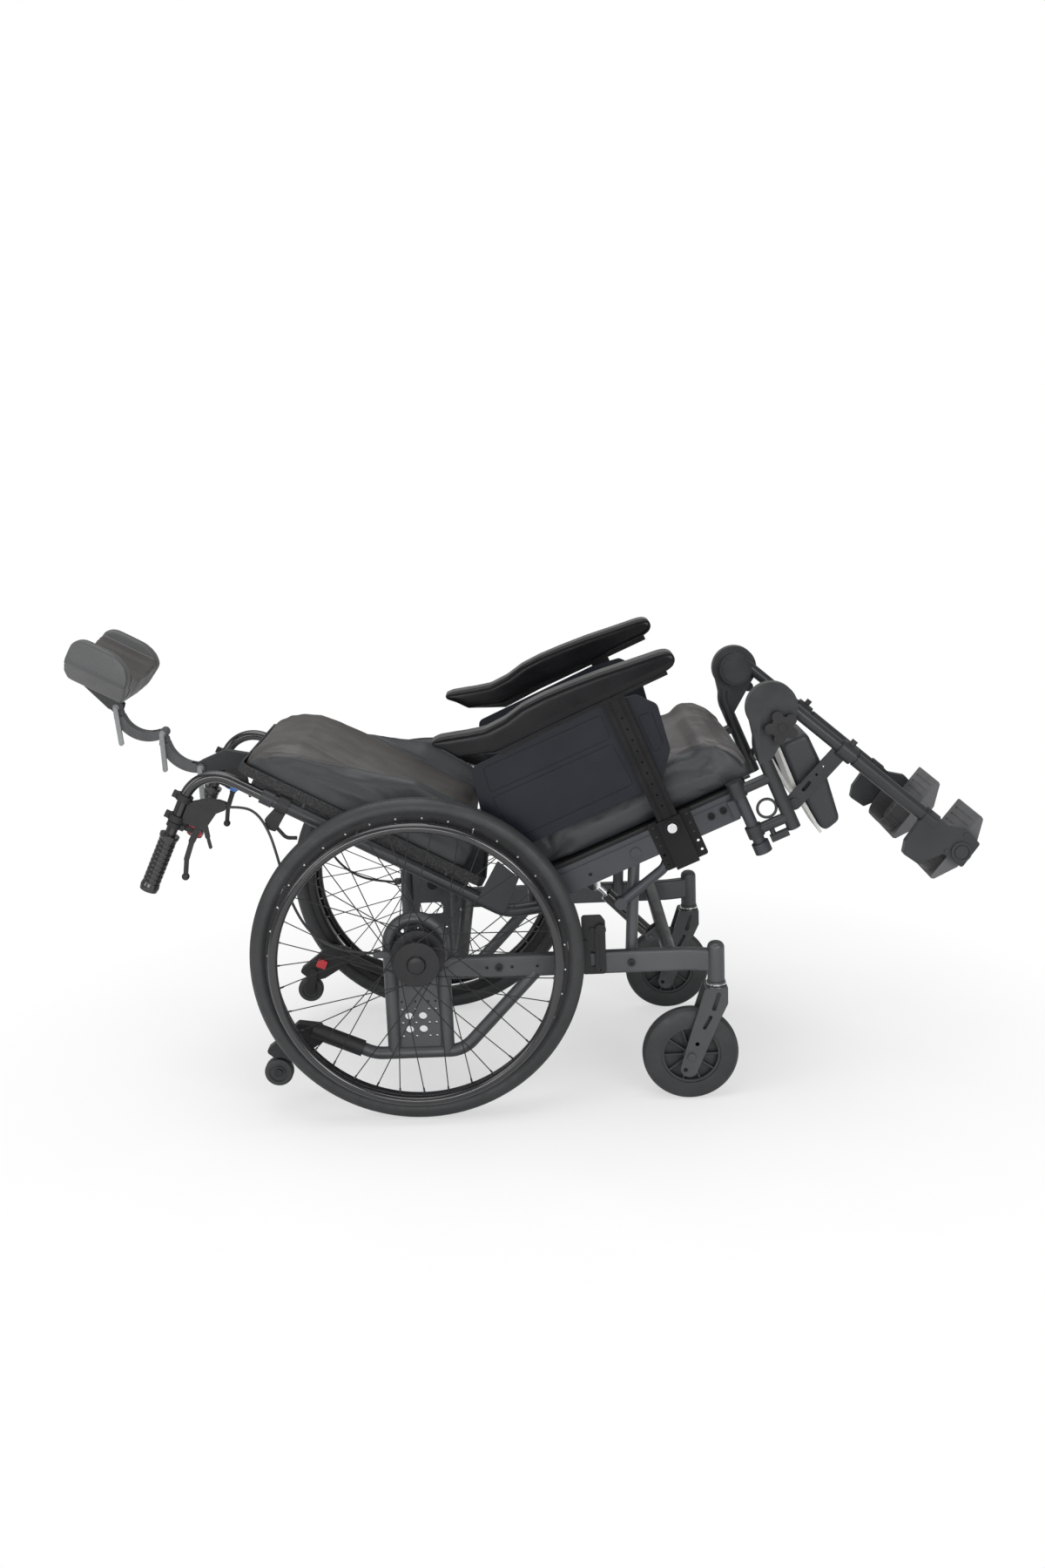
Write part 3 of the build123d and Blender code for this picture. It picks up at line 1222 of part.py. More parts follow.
def footplate():
    """Boat-shaped moulded plate with a ribbed tread and a heel strap."""
    half = PLATE_HALF_LENGTH
    top, bottom = PLATE_TOP, PLATE_BOTTOM
    outline = [(-half, top), (half, top), (half - 4, top - 8)]
    outline += [(27, bottom), (-27, bottom), (-half + 4, top - 8)]
    frame = Pos(FOOT_HINGE[0], 0, FOOT_HINGE[1]) * Rot(0, -PLATE_ANGLE, 0)
    plate = prism(panel(outline, 2.5), -PLATE_Y[1], -PLATE_Y[0])
    middle_y = -(PLATE_Y[0] + PLATE_Y[1]) / 2
    for number in range(9):
        x = -56 + 14 * number
        plate -= Pos(x, middle_y, top) * Box(4, 110, 3)
    plate -= disc(0, 0, FOOT_PIN_R + RUN, -PLATE_Y[1] - 5, -PLATE_Y[1] + 41)
    strap_y = (-PLATE_Y[1] + 8, -PLATE_Y[0] - 8)
    loop = [(8, strap_y[0]), (-66, strap_y[0]), (-66, strap_y[1]), (8, strap_y[1])]
    path = FilletPolyline(*[(x, y, top) for x, y in loop], radius=[34, 34])
    section = Plane(origin=path @ 0, x_dir=(0, -1, 0), z_dir=path % 0)
    band = sweep(section * Pos(0, 17) * Rectangle(2.5, 34), path=path)
    return SEAT * frame * group(plate, band)


def calf_pad():
    """Padded calf rest on a pivoting back plate."""
    plate = make_face(
        Polyline((312, 62), (317, 62), (316, -20), (326.4, -115), (321.6, -117), (309, -22), close=True)
    )
    shell = prism(plate, -206, -88)
    ear = strap((314, -30), CALF_HINGE, 18)
    shell += prism(ear, -219, -204)
    shell += disc(*CALF_HINGE, 5, -LEG_TUBE_Y - 6, -210)
    shell += disc(*CALF_HINGE, 8, -LEG_TUBE_Y - 7, -LEG_TUBE_Y - 3.5)
    outline = panel([(317.6, 70), (316.6, -20), (327.4, -121), (366, -110), (376, -16), (373, 70)], 13)
    pad = prism(outline, -208, -84)
    pad = fillet(pad.faces().sort_by(Axis.Y)[0].edges() + pad.faces().sort_by(Axis.Y)[-1].edges(), 9)
    return SEAT * group(shell, pad)


# ---------------------------------------------------------------- brake cables
CABLE_R = 2.5


def cable_run(points):
    """One cable: straight runs joined by arcs as large as the runs allow."""
    radii = []
    for a, b, c in zip(points, points[1:], points[2:]):
        first, second = Vector(*b) - Vector(*a), Vector(*c) - Vector(*b)
        turn = radians(first.get_angle(second))
        shorter = min(first.length, second.length)
        radii.append(0.45 * shorter / (sin(turn / 2) / cos(turn / 2)))
    path = FilletPolyline(*points, radius=radii)
    tube = sweep(Plane(origin=path @ 0, z_dir=path % 0) * Circle(CABLE_R), path=path)
    share = tube.volume / (pi * CABLE_R ** 2 * path.length)
    print("cable: least bend radius", round(min(radii), 1), "mm, filled share", round(share, 4))
    return tube


def cable_route():
    """Right brake cable, from the lever bracket down to the hub drum, in world axes."""
    return [
        (-339.3, -205, 586.2),
        (-309, -207, 586.8),
        (-282, -214, 574),
        (-262, -222, 540),
        (-250, -228, 496),
        (-240, -232, 448),
        (-226, -235, 400),
        (-203, -237, 356),
        (-168, -238, 325),
        (-126, -238, 310),
        (-84, -238, 306),
    ]


def cables(upper):
    points = cable_route()
    joint = 5
    cut = tuple((a + b) / 2 for a, b in zip(points[joint], points[joint + 1]))
    half = points[:joint + 1] + [cut] if upper else [cut] + points[joint + 1:]
    right = cable_run(half)
    return group(right, mirrored(right))


# ---------------------------------------------------------------- write the parts
os.makedirs("parts", exist_ok=True)

save_pair("tyre", WHEEL * tyre())
save_pair("spoked_wheel", WHEEL * spoked_wheel())
save_pair("handrim", WHEEL * handrim())
save_pair("base_frame", base_frame())
save("cross_tubes", cross_tubes())
save("base_fittings", base_fittings())
save_pair("caster_fork", caster_fork())
save_pair("caster_wheel", caster_wheel())
save_pair("anti_tip_arm", anti_tip_arm())
save_pair("anti_tip_wheel", anti_tip_wheel())

tilt_head = seat_point(*TILT_STRUT_TOP)
tilt_rod, tilt_cylinder = strut_pieces(tilt_head, strut_foot(), TILT_STRUT_Y)
save("tilt_strut_rod", tilt_rod)
save("tilt_strut_cylinder", tilt_cylinder)
recline_rod, recline_cylinder = strut_pieces(recline_strut_head(), recline_strut_foot(), RECLINE_STRUT_Y)
save("recline_strut_rod", SEAT * recline_rod)
save("recline_strut_cylinder", SEAT * recline_cylinder)

save("seat_frame", seat_frame())
save("seat_pan", seat_pan())
save("seat_cushion", seat_cushion())
save("seat_fittings", seat_fittings())
save_pair("armrest_button", SEAT * release_button())
save_pair("armrest_post", armrest_post())
save_pair("arm_pad", arm_pad())
save_pair("skirt_guard", skirt_guard())

save("back_frame", back_frame())
save_pair("push_handle", push_handle())
save("back_shell", back_shell())
save("back_cushion", back_cushion())
save("lever_brackets", lever_brackets())
save_pair("brake_lever", brake_lever())
save("recline_trigger", BACK * trigger())
save("tilt_trigger", BACK * mirrored(trigger()))
save("lock_lever", lock_lever())
save("brake_cables_upper", cables(True))
save("brake_cables_lower", cables(False))

save("headrest_link_lower", headrest_link(0))
save("headrest_link_upper", headrest_link(1))
save("headrest_pad", headrest_pad())

save_pair("hanger", hanger())
save_pair("leg_tube", leg_tube())
save_pair("foot_tube", foot_tube())
save_pair("footplate", footplate())
save_pair("calf_pad", calf_pad())
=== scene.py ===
import json
import math

import bmesh
import bpy
import numpy as np
from mathutils import Matrix, Vector


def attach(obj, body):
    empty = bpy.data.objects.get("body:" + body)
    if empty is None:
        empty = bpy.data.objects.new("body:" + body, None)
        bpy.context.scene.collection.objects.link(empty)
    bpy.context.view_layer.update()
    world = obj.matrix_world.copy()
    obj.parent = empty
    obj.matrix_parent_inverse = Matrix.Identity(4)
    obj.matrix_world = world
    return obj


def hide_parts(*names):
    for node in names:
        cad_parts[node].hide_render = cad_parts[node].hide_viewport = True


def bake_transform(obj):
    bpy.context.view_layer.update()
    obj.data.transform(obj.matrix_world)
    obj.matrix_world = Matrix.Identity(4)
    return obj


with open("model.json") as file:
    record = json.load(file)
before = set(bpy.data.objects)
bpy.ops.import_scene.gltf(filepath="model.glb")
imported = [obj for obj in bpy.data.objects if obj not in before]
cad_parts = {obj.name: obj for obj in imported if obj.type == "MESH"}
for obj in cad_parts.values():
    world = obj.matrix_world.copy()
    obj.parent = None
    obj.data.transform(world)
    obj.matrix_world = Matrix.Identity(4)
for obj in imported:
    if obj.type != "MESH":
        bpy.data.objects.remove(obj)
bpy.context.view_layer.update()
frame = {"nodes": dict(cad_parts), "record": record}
NODES = frame["nodes"]
BODY = {}
for body_name, members in frame["record"]["behaviour"]["bodies"].items():
    for member in members:
        BODY[member] = body_name

MIDDLE_X = 0.198445          # the origin's place ahead of the rear axle
SIDES = ("right", "left")

# ------------------------------------------------------------------ the chair's own axes
TILT = math.radians(22.5)
BACK_ANGLE = math.radians(38.8)
TILT_PIVOT = (406, 479)      # ahead of the rear axle and above the floor, in millimetres
RECLINE_PIVOT = (-175, -38)  # along the seat and above it


def turned(x, z, angle):
    """A point of the side view, turned about the origin."""
    return x * math.cos(angle) - z * math.sin(angle), x * math.sin(angle) + z * math.cos(angle)


def seat_point(s, y, h):
    """A point of the frame in metres, from the seat's axes in millimetres: along, across, up."""
    x, z = turned(s, h, TILT)
    return world_point(TILT_PIVOT[0] + x, y, TILT_PIVOT[1] + z)


def back_point(forward, y, up):
    """The same from the back's axes: forward, across, up."""
    x, z = turned(forward, up, BACK_ANGLE)
    return seat_point(RECLINE_PIVOT[0] + x, y, RECLINE_PIVOT[1] + z)


def world_point(x, y, z):
    """The same from millimetres ahead of the rear axle, across, and above the floor."""
    return Vector((x / 1000 - MIDDLE_X, y / 1000, z / 1000))


SEAT_UP = (seat_point(0, 0, 1) - seat_point(0, 0, 0)).normalized()
SEAT_FORWARD = (seat_point(1, 0, 0) - seat_point(0, 0, 0)).normalized()
BACK_UP = (back_point(0, 0, 1) - back_point(0, 0, 0)).normalized()
BACK_FORWARD = (back_point(1, 0, 0) - back_point(0, 0, 0)).normalized()


# ------------------------------------------------------------------ materials
class Shader:
    """Lays out the nodes of one material, in object coordinates, which are metres."""

    def __init__(self, name):
        self.material = bpy.data.materials.new(name)
        self.material.use_nodes = True
        self.tree = self.material.node_tree
        self.nodes = self.tree.nodes
        self.surface = self.nodes["Principled BSDF"]
        self.coords = self.nodes.new("ShaderNodeTexCoord")

    def link(self, source, target):
        self.tree.links.new(source, target)

    def mapped(self, scale):
        mapping = self.nodes.new("ShaderNodeMapping")
        mapping.inputs["Scale"].default_value = scale
        self.link(self.coords.outputs["Object"], mapping.inputs["Vector"])
        return mapping.outputs["Vector"]

    def noise(self, scale, detail=4.0, rough=0.55, vector=None):
        node = self.nodes.new("ShaderNodeTexNoise")
        node.inputs["Scale"].default_value = scale
        node.inputs["Detail"].default_value = detail
        node.inputs["Roughness"].default_value = rough
        self.link(vector or self.coords.outputs["Object"], node.inputs["Vector"])
        return node.outputs["Fac"]

    def voronoi(self, scale, feature="F1"):
        node = self.nodes.new("ShaderNodeTexVoronoi")
        node.feature = feature
        node.inputs["Scale"].default_value = scale
        self.link(self.coords.outputs["Object"], node.inputs["Vector"])
        return node.outputs["Distance"]

    def wave(self, scale, direction):
        node = self.nodes.new("ShaderNodeTexWave")
        node.bands_direction = direction
        node.inputs["Scale"].default_value = scale
        self.link(self.coords.outputs["Object"], node.inputs["Vector"])
        return node.outputs["Fac"]

    def ramp(self, value, low, high, from_low=0.35, from_high=0.65):
        node = self.nodes.new("ShaderNodeMapRange")
        node.inputs["From Min"].default_value = from_low
        node.inputs["From Max"].default_value = from_high
        node.inputs["To Min"].default_value = low
        node.inputs["To Max"].default_value = high
        self.link(value, node.inputs["Value"])
        return node.outputs["Result"]

    def math(self, operation, first, second):
        node = self.nodes.new("ShaderNodeMath")
        node.operation = operation
        for socket, value in zip(node.inputs, (first, second)):
            if isinstance(value, (int, float)):
                socket.default_value = value
            else:
                self.link(value, socket)
        return node.outputs[0]

    def colours(self, value, dark, light):
        node = self.nodes.new("ShaderNodeMix")
        node.data_type = "RGBA"
        node.inputs["A"].default_value = (*dark, 1)
        node.inputs["B"].default_value = (*light, 1)
        self.link(value, node.inputs["Factor"])
        self.link(node.outputs["Result"], self.surface.inputs["Base Color"])

    def roughness(self, value, low, high):
        self.link(self.ramp(value, low, high), self.surface.inputs["Roughness"])

    def bump(self, value, strength, distance, normal=None):
        node = self.nodes.new("ShaderNodeBump")
        node.inputs["Strength"].default_value = strength
        node.inputs["Distance"].default_value = distance
        self.link(value, node.inputs["Height"])
        if normal is not None:
            self.link(normal, node.inputs["Normal"])
        self.link(node.outputs["Normal"], self.surface.inputs["Normal"])

    def rounded_edges(self, radius):
        node = self.nodes.new("ShaderNodeBevel")
        node.samples = 4
        node.inputs["Radius"].default_value = radius
        return node.outputs["Normal"]

    def set(self, **values):
        for name, value in values.items():
            self.surface.inputs[name.replace("_", " ")].default_value = value


def painted(name, dark, light, rough, metallic=0.0, coat=0.0, grain=1400, strength=0.12, shine=0.5):
    """Powder coat or paint: a fine orange-peel skin, with slow changes of tone and gloss."""
    shader = Shader(name)
    shader.colours(shader.ramp(shader.noise(7, 3), 0, 1), dark, light)
    shader.roughness(shader.noise(28, 5), *rough)
    shader.bump(shader.noise(grain, 2), strength, 0.0004, shader.rounded_edges(0.0007))
    shader.set(Metallic=metallic, Coat_Weight=coat, Coat_Roughness=0.12, Specular_IOR_Level=shine)
    return shader.material


def moulded(name, dark, light, rough=(0.42, 0.55), strength=0.2, coat=0.0, shine=0.5):
    """Moulded plastic with a spark-eroded texture."""
    shader = Shader(name)
    shader.colours(shader.ramp(shader.noise(11, 3), 0, 1), dark, light)
    shader.roughness(shader.noise(45, 4), *rough)
    shader.bump(shader.voronoi(900), strength, 0.0003, shader.rounded_edges(0.0008))
    shader.set(Coat_Weight=coat, Coat_Roughness=0.2, Specular_IOR_Level=shine)
    return shader.material


def leather(name, dark, light, rough=(0.36, 0.5), grain=620, strength=0.32, creases=0.25, shine=0.5):
    """Upholstery skin: pebbled cells, soft creases and slow changes of tone."""
    shader = Shader(name)
    shader.colours(shader.ramp(shader.noise(5, 2), 0, 1), dark, light)
    shader.roughness(shader.noise(18, 3), *rough)
    pebble = shader.voronoi(grain, "SMOOTH_F1")
    crease = shader.math("MULTIPLY", shader.noise(70, 5, 0.62), creases)
    shader.bump(shader.math("ADD", pebble, crease), strength, 0.0007)
    shader.set(Specular_IOR_Level=shine)
    return shader.material


def metal(name, dark, light, rough=(0.22, 0.36)):
    """Bare metal with fine drawing marks."""
    shader = Shader(name)
    marks = shader.noise(1, 4, 0.6, shader.mapped((600, 600, 60)))
    shader.colours(shader.ramp(marks, 0, 1), dark, light)
    shader.roughness(marks, *rough)
    shader.bump(marks, 0.08, 0.0002, shader.rounded_edges(0.0004))
    shader.set(Metallic=1.0)
    return shader.material


def rubber(name, dark, light, rough, grain=500, strength=0.25, shine=0.5):
    """Matt rubber with a film of dust."""
    shader = Shader(name)
    shader.colours(shader.ramp(shader.noise(14, 6, 0.65), 0, 1), dark, light)
    shader.roughness(shader.noise(60, 4), *rough)
    shader.bump(shader.noise(grain, 3), strength, 0.0004)
    shader.set(Specular_IOR_Level=shine)
    return shader.material


def webbing(name, dark, light, fineness):
    """Woven strap: two crossed sets of threads, with some fuzz."""
    shader = Shader(name)
    weave = shader.math("MULTIPLY", shader.wave(fineness / 6, "Y"), shader.wave(fineness / 6, "DIAGONAL"))
    fuzz = shader.noise(fineness, 4, 0.7)
    mixed = shader.math("ADD", weave, fuzz)
    shader.colours(shader.ramp(mixed, 0, 1, 0.3, 1.3), dark, light)
    shader.roughness(fuzz, 0.75, 0.95)
    shader.bump(mixed, 0.6, 0.0008)
    shader.set(Sheen_Weight=0.25, Sheen_Roughness=0.5)
    return shader.material


def speckled(name, dark, light):
    """Worn loop pile: dark, with pale fibre ends."""
    shader = Shader(name)
    pile = shader.noise(620, 3, 0.75)
    shader.colours(shader.ramp(pile, 0, 1, 0.5, 0.66), dark, light)
    shader.roughness(pile, 0.8, 0.95)
    shader.bump(pile, 0.7, 0.0010)
    shader.set(Sheen_Weight=0.2, Sheen_Roughness=0.5)
    return shader.material


CHARCOAL = painted(
    "charcoal_coat", (0.054, 0.057, 0.062), (0.074, 0.077, 0.082),
    rough=(0.32, 0.44), metallic=0.2,
)
BLACK_COAT = painted(
    "black_coat", (0.022, 0.023, 0.025), (0.032, 0.033, 0.036),
    rough=(0.28, 0.4), metallic=0.1, shine=0.4,
)
WHEEL_BLACK = painted(
    "wheel_black", (0.012, 0.012, 0.013), (0.019, 0.019, 0.021),
    rough=(0.26, 0.38), metallic=0.1, shine=0.35,
)
FORK_COAT = painted(
    "fork_coat", (0.050, 0.052, 0.054), (0.066, 0.068, 0.070),
    rough=(0.3, 0.42), metallic=0.15, shine=0.4,
)
GLOSS_BLACK = painted(
    "gloss_black", (0.008, 0.008, 0.010), (0.015, 0.015, 0.017),
    rough=(0.12, 0.2), coat=0.5, grain=900, strength=0.04,
)
ANODISED = painted(
    "black_anodised", (0.006, 0.006, 0.007), (0.011, 0.011, 0.012),
    rough=(0.26, 0.36), metallic=0.2, grain=2200, strength=0.08, shine=0.22,
)
SEAT_COAT = painted(
    "seat_coat", (0.030, 0.033, 0.039), (0.042, 0.045, 0.052),
    rough=(0.3, 0.42), metallic=0.15,
)
GUARD = painted(
    "guard_navy", (0.007, 0.009, 0.014), (0.012, 0.014, 0.020),
    rough=(0.32, 0.44), grain=1100, shine=0.22,
)
PLASTIC = moulded("black_moulding", (0.014, 0.014, 0.015), (0.023, 0.023, 0.025), shine=0.32)
TRAY_PLASTIC = moulded("tray_moulding", (0.020, 0.022, 0.024), (0.030, 0.032, 0.035), shine=0.32)
BOARD_PLASTIC = moulded("board_moulding", (0.082, 0.083, 0.087), (0.104, 0.105, 0.109), rough=(0.36, 0.48))
CORE_PLASTIC = moulded("core_moulding", (0.028, 0.029, 0.031), (0.040, 0.041, 0.043), shine=0.4)
GREY_PLASTIC = moulded("grey_moulding", (0.052, 0.054, 0.057), (0.072, 0.074, 0.077), rough=(0.45, 0.6))
LEVER_GREY = moulded("lever_moulding", (0.190, 0.198, 0.200), (0.240, 0.250, 0.252), rough=(0.4, 0.52))
RED = moulded(
    "red_moulding", (0.52, 0.02, 0.03), (0.66, 0.03, 0.04),
    rough=(0.3, 0.4), strength=0.08, coat=0.4,
)
BLUE = moulded(
    "blue_moulding", (0.02, 0.11, 0.42), (0.03, 0.16, 0.52),
    rough=(0.3, 0.4), strength=0.08, coat=0.4,
)
PALE = moulded("pale_shell", (0.50, 0.50, 0.48), (0.60, 0.60, 0.58), rough=(0.4, 0.5), strength=0.1)
STEEL = metal("satin_steel", (0.58, 0.58, 0.59), (0.74, 0.74, 0.75))
DARK_STEEL = metal("dark_steel", (0.10, 0.10, 0.11), (0.18, 0.18, 0.19), rough=(0.26, 0.4))
CHROME = metal("polished_rod", (0.72, 0.73, 0.75), (0.84, 0.85, 0.86), rough=(0.06, 0.12))
TYRE = rubber("tyre_rubber", (0.022, 0.023, 0.024), (0.032, 0.033, 0.035), rough=(0.42, 0.56), shine=0.42)
GRIP = rubber(
    "grip_rubber", (0.007, 0.007, 0.008), (0.013, 0.013, 0.014),
    rough=(0.46, 0.58), grain=700, strength=0.3, shine=0.16,
)
LEATHER_TOP = leather("leather_top", (0.044, 0.040, 0.038), (0.056, 0.052, 0.049))
# a lighter copy of the side leather for the headrest's wings: painted light, standing in for the light on
# the wing that faces the lamps
HEAD_WING_LIT_SKIN = leather("leather_head_lit_wings", (0.060, 0.061, 0.063), (0.074, 0.075, 0.077), rough=(0.34, 0.46))
# a lighter copy of the top leather for the seat: painted light, as bright as the seat's upward-facing top
# where it is lit
SEAT_TOP_LIT = leather("leather_seat_top_lit", (0.066, 0.062, 0.061), (0.080, 0.076, 0.074))
LEATHER_SIDE = leather(
    "leather_side", (0.024, 0.027, 0.030), (0.032, 0.035, 0.039),
    rough=(0.38, 0.5), shine=0.42,
)
ARM_SKIN = leather(
    "arm_pad_skin", (0.004, 0.004, 0.005), (0.008, 0.008, 0.009),
    rough=(0.17, 0.26), grain=800, strength=0.08, creases=0.08, shine=0.2,
)
LOOP_BAND = speckled("loop_band", (0.010, 0.010, 0.011), (0.085, 0.085, 0.088))
STRAP = webbing("heel_strap", (0.014, 0.014, 0.015), (0.034, 0.034, 0.036), fineness=700)
SHEATH = rubber(
    "cable_sheath", (0.014, 0.014, 0.015), (0.022, 0.022, 0.024),
    rough=(0.35, 0.5), grain=900, strength=0.1,
)


# ------------------------------------------------------------------ mesh helpers
def finish_material(obj, material):
    """Gives an object this material alone."""
    obj.data.materials.clear()
    obj.data.materials.append(material)


def smooth_by_angle(mesh, limit=math.radians(32)):
    """Smooth faces, with edges sharper than the limit left crisp."""
    work = bmesh.new()
    work.from_mesh(mesh)
    for face in work.faces:
        face.smooth = True
    for edge in work.edges:
        edge.smooth = len(edge.link_faces) == 2 and edge.calc_face_angle(math.pi) < limit
    work.to_mesh(mesh)
    work.free()


def solids_of(node):
    """The separate solids of a CAD node, as new meshes, the largest box first."""
    work = bmesh.new()
    work.from_mesh(NODES[node].data)
    bmesh.ops.remove_doubles(work, verts=work.verts, dist=1e-6)
    work.verts.ensure_lookup_table()
    left = set(range(len(work.verts)))
    islands = []
    while left:
        seed = left.pop()
        island, stack = {seed}, [seed]
        while stack:
            for edge in work.verts[stack.pop()].link_edges:
                for vert in edge.verts:
                    if vert.index in left:
                        left.discard(vert.index)
                        island.add(vert.index)
                        stack.append(vert.index)
        islands.append(island)
    meshes = []
    for number, island in enumerate(islands):
        ordered = sorted(island)
        place = {index: at for at, index in enumerate(ordered)}
        points = [work.verts[index].co[:] for index in ordered]
        faces = [
            [place[vert.index] for vert in face.verts]
            for face in work.faces
            if face.verts[0].index in island
        ]
        mesh = bpy.data.meshes.new(f"{node}_solid_{number}")
        mesh.from_pydata(points, [], faces)
        meshes.append(mesh)
    work.free()
    return sorted(meshes, key=lambda mesh: -diagonal(mesh))


def points_of(mesh):
    flat = np.empty(len(mesh.vertices) * 3)
    mesh.vertices.foreach_get("co", flat)
    return flat.reshape(-1, 3)


def diagonal(mesh):
    points = points_of(mesh)
    return float(np.linalg.norm(points.max(0) - points.min(0)))


def put_points(mesh, points):
    mesh.vertices.foreach_set("co", np.ascontiguousarray(points, dtype=np.float32).ravel())
    mesh.update()


def new_object(name, mesh, material):
    obj = bpy.data.objects.new(name, mesh)
    bpy.context.scene.collection.objects.link(obj)
    finish_material(obj, material)
    return obj


def piece(name, mesh, material, node, smooth=True):
    """A visual solid that stands for one solid of a CAD node."""
    if smooth:
        smooth_by_angle(mesh)
    obj = new_object(name, mesh, material)
    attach(obj, BODY[node])
    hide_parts(node)
    return obj


def evaluated_mesh(obj, name):
    """The mesh an object has once its modifiers are applied."""
    depsgraph = bpy.context.evaluated_depsgraph_get()
    mesh = bpy.data.meshes.new_from_object(obj.evaluated_get(depsgraph))
    mesh.name = name
    return mesh


def remeshed(mesh, name, voxel, shrink, smooth):
    """An even copy of a closed mesh, smoothed some times over and moved inwards by shrink."""
    obj = bpy.data.objects.new("remesh_work", mesh)
    bpy.context.scene.collection.objects.link(obj)
    remesh = obj.modifiers.new("remesh", "REMESH")
    remesh.mode = "VOXEL"
    remesh.voxel_size = voxel
    soft = obj.modifiers.new("soft", "SMOOTH")
    soft.iterations = smooth
    soft.factor = 0.5
    result = evaluated_mesh(obj, name)
    bpy.data.objects.remove(obj)
    if shrink:
        put_points(result, points_of(result) - vertex_normals(result) * shrink)
    return result


def inflated(mesh, name, held, pressure=4.0, stiffness=30.0, cap=0.006, frames=20):
    """The mesh after a pressure cloth run, with held points pinned and each point's travel capped."""
    start = points_of(mesh)
    obj = bpy.data.objects.new("cloth_work", mesh)
    bpy.context.scene.collection.objects.link(obj)
    cloth = obj.modifiers.new("cloth", "CLOTH")
    settings = cloth.settings
    settings.quality = 5
    settings.mass = 0.3
    settings.tension_stiffness = stiffness
    settings.compression_stiffness = stiffness
    settings.bending_stiffness = 0.5
    settings.use_pressure = True
    settings.uniform_pressure_force = pressure
    settings.effector_weights.gravity = 0
    group = obj.vertex_groups.new(name="held")
    group.add([int(index) for index in np.nonzero(held(start))[0]], 1.0, "REPLACE")
    settings.vertex_group_mass = "held"
    scene = bpy.context.scene
    for number in range(1, frames + 1):
        scene.frame_set(number)
    result = evaluated_mesh(obj, name)
    bpy.data.objects.remove(obj)
    scene.frame_set(1)
    moved = points_of(result) - start
    length = np.linalg.norm(moved, axis=1, keepdims=True)
    put_points(result, start + moved * np.minimum(1, cap / np.maximum(length, 1e-9)))
    return result


def subdivided(mesh, name):
    """The mesh after one level of subdivision, shaded smooth."""
    obj = bpy.data.objects.new("subdivide_work", mesh)
    bpy.context.scene.collection.objects.link(obj)
    obj.modifiers.new("subdivide", "SUBSURF").levels = 1
    result = evaluated_mesh(obj, name)
    bpy.data.objects.remove(obj)
    for polygon in result.polygons:
        polygon.use_smooth = True
    return result


def padding(mesh, name, voxel, shrink, smooth):
    """A rounded, evenly meshed copy of a soft solid."""
    return subdivided(remeshed(mesh, name, voxel, shrink, smooth), name)


def plumped(mesh, name, held):
    """A cushion that starts a little small and is puffed out under its cover."""
    mesh = remeshed(mesh, name, 0.005, 0.003, 3)
    mesh = inflated(mesh, name, held)
    return subdivided(mesh, name)


def to_axes(points, origin, *axes):
    """Coordinates of points along the given axes, from an origin."""
    offset = points - np.array(origin)
    return [offset @ np.array(axis) for axis in axes]


def seat_coords(points):
    """Seat coordinates in millimetres: along, across, up."""
    s, y, h = to_axes(points, seat_point(0, 0, 0), SEAT_FORWARD, (0, 1, 0), SEAT_UP)
    return s * 1000, y * 1000, h * 1000


def back_coords(points):
    """Back coordinates in millimetres: forward, across, up."""
    forward, y, up = to_axes(points, back_point(0, 0, 0), BACK_FORWARD, (0, 1, 0), BACK_UP)
    return forward * 1000, y * 1000, up * 1000


def vertex_normals(mesh):
    normals = np.empty(len(mesh.vertices) * 3)
    mesh.vertices.foreach_get("normal", normals)
    return normals.reshape(-1, 3)


def press_seam(mesh, distance, seam, share=1.0):
    """Sinks the surface along a line, given as distances from it in millimetres."""
    width, depth = seam
    amount = np.exp(-(distance / width) ** 2) * (depth * share) / 1000
    put_points(mesh, points_of(mesh) - vertex_normals(mesh) * amount[:, None])


def step(value, low, high):
    """A smooth step from 0 to 1."""
    t = np.clip((value - low) / (high - low), 0, 1)
    return t * t * (3 - 2 * t)


def two_toned(obj, second, chosen):
    """Gives the faces picked by a mask a second material."""
    obj.data.materials.append(second)
    for polygon, pick in zip(obj.data.polygons, chosen):
        if pick:
            polygon.material_index = 1


def face_centres(mesh):
    flat = np.empty(len(mesh.polygons) * 3)
    mesh.polygons.foreach_get("center", flat)
    return flat.reshape(-1, 3)


# ------------------------------------------------------------------ finishes of the CAD pieces
FINISH = {}
for side in SIDES:
    FINISH.update({
        f"tyre_{side}": TYRE,
        f"spoked_wheel_{side}": WHEEL_BLACK,
        f"handrim_{side}": GLOSS_BLACK,
        f"base_frame_{side}": CHARCOAL,
        f"caster_fork_{side}": FORK_COAT,
        f"armrest_post_{side}": ANODISED,
        f"armrest_button_{side}": STEEL,
        f"skirt_guard_{side}": GUARD,
        f"leg_tube_{side}": BLACK_COAT,
        f"foot_tube_{side}": BLACK_COAT,
        f"brake_lever_{side}": PLASTIC,
        f"anti_tip_wheel_{side}": TYRE,
    })
FINISH.update({
    "cross_tubes": CHARCOAL,
    "tilt_strut_rod": CHROME,
    "tilt_strut_cylinder": GLOSS_BLACK,
    "recline_strut_rod": CHROME,
    "recline_strut_cylinder": GLOSS_BLACK,
    "seat_frame": SEAT_COAT,
    "seat_pan": PLASTIC,
    "seat_fittings": ANODISED,
    "back_frame": BLACK_COAT,
    "back_shell": TRAY_PLASTIC,
    "lever_brackets": PLASTIC,
    "recline_trigger": RED,
    "tilt_trigger": BLUE,
    "lock_lever": PLASTIC,
})
for node, material in FINISH.items():
    finish_material(NODES[node], material)

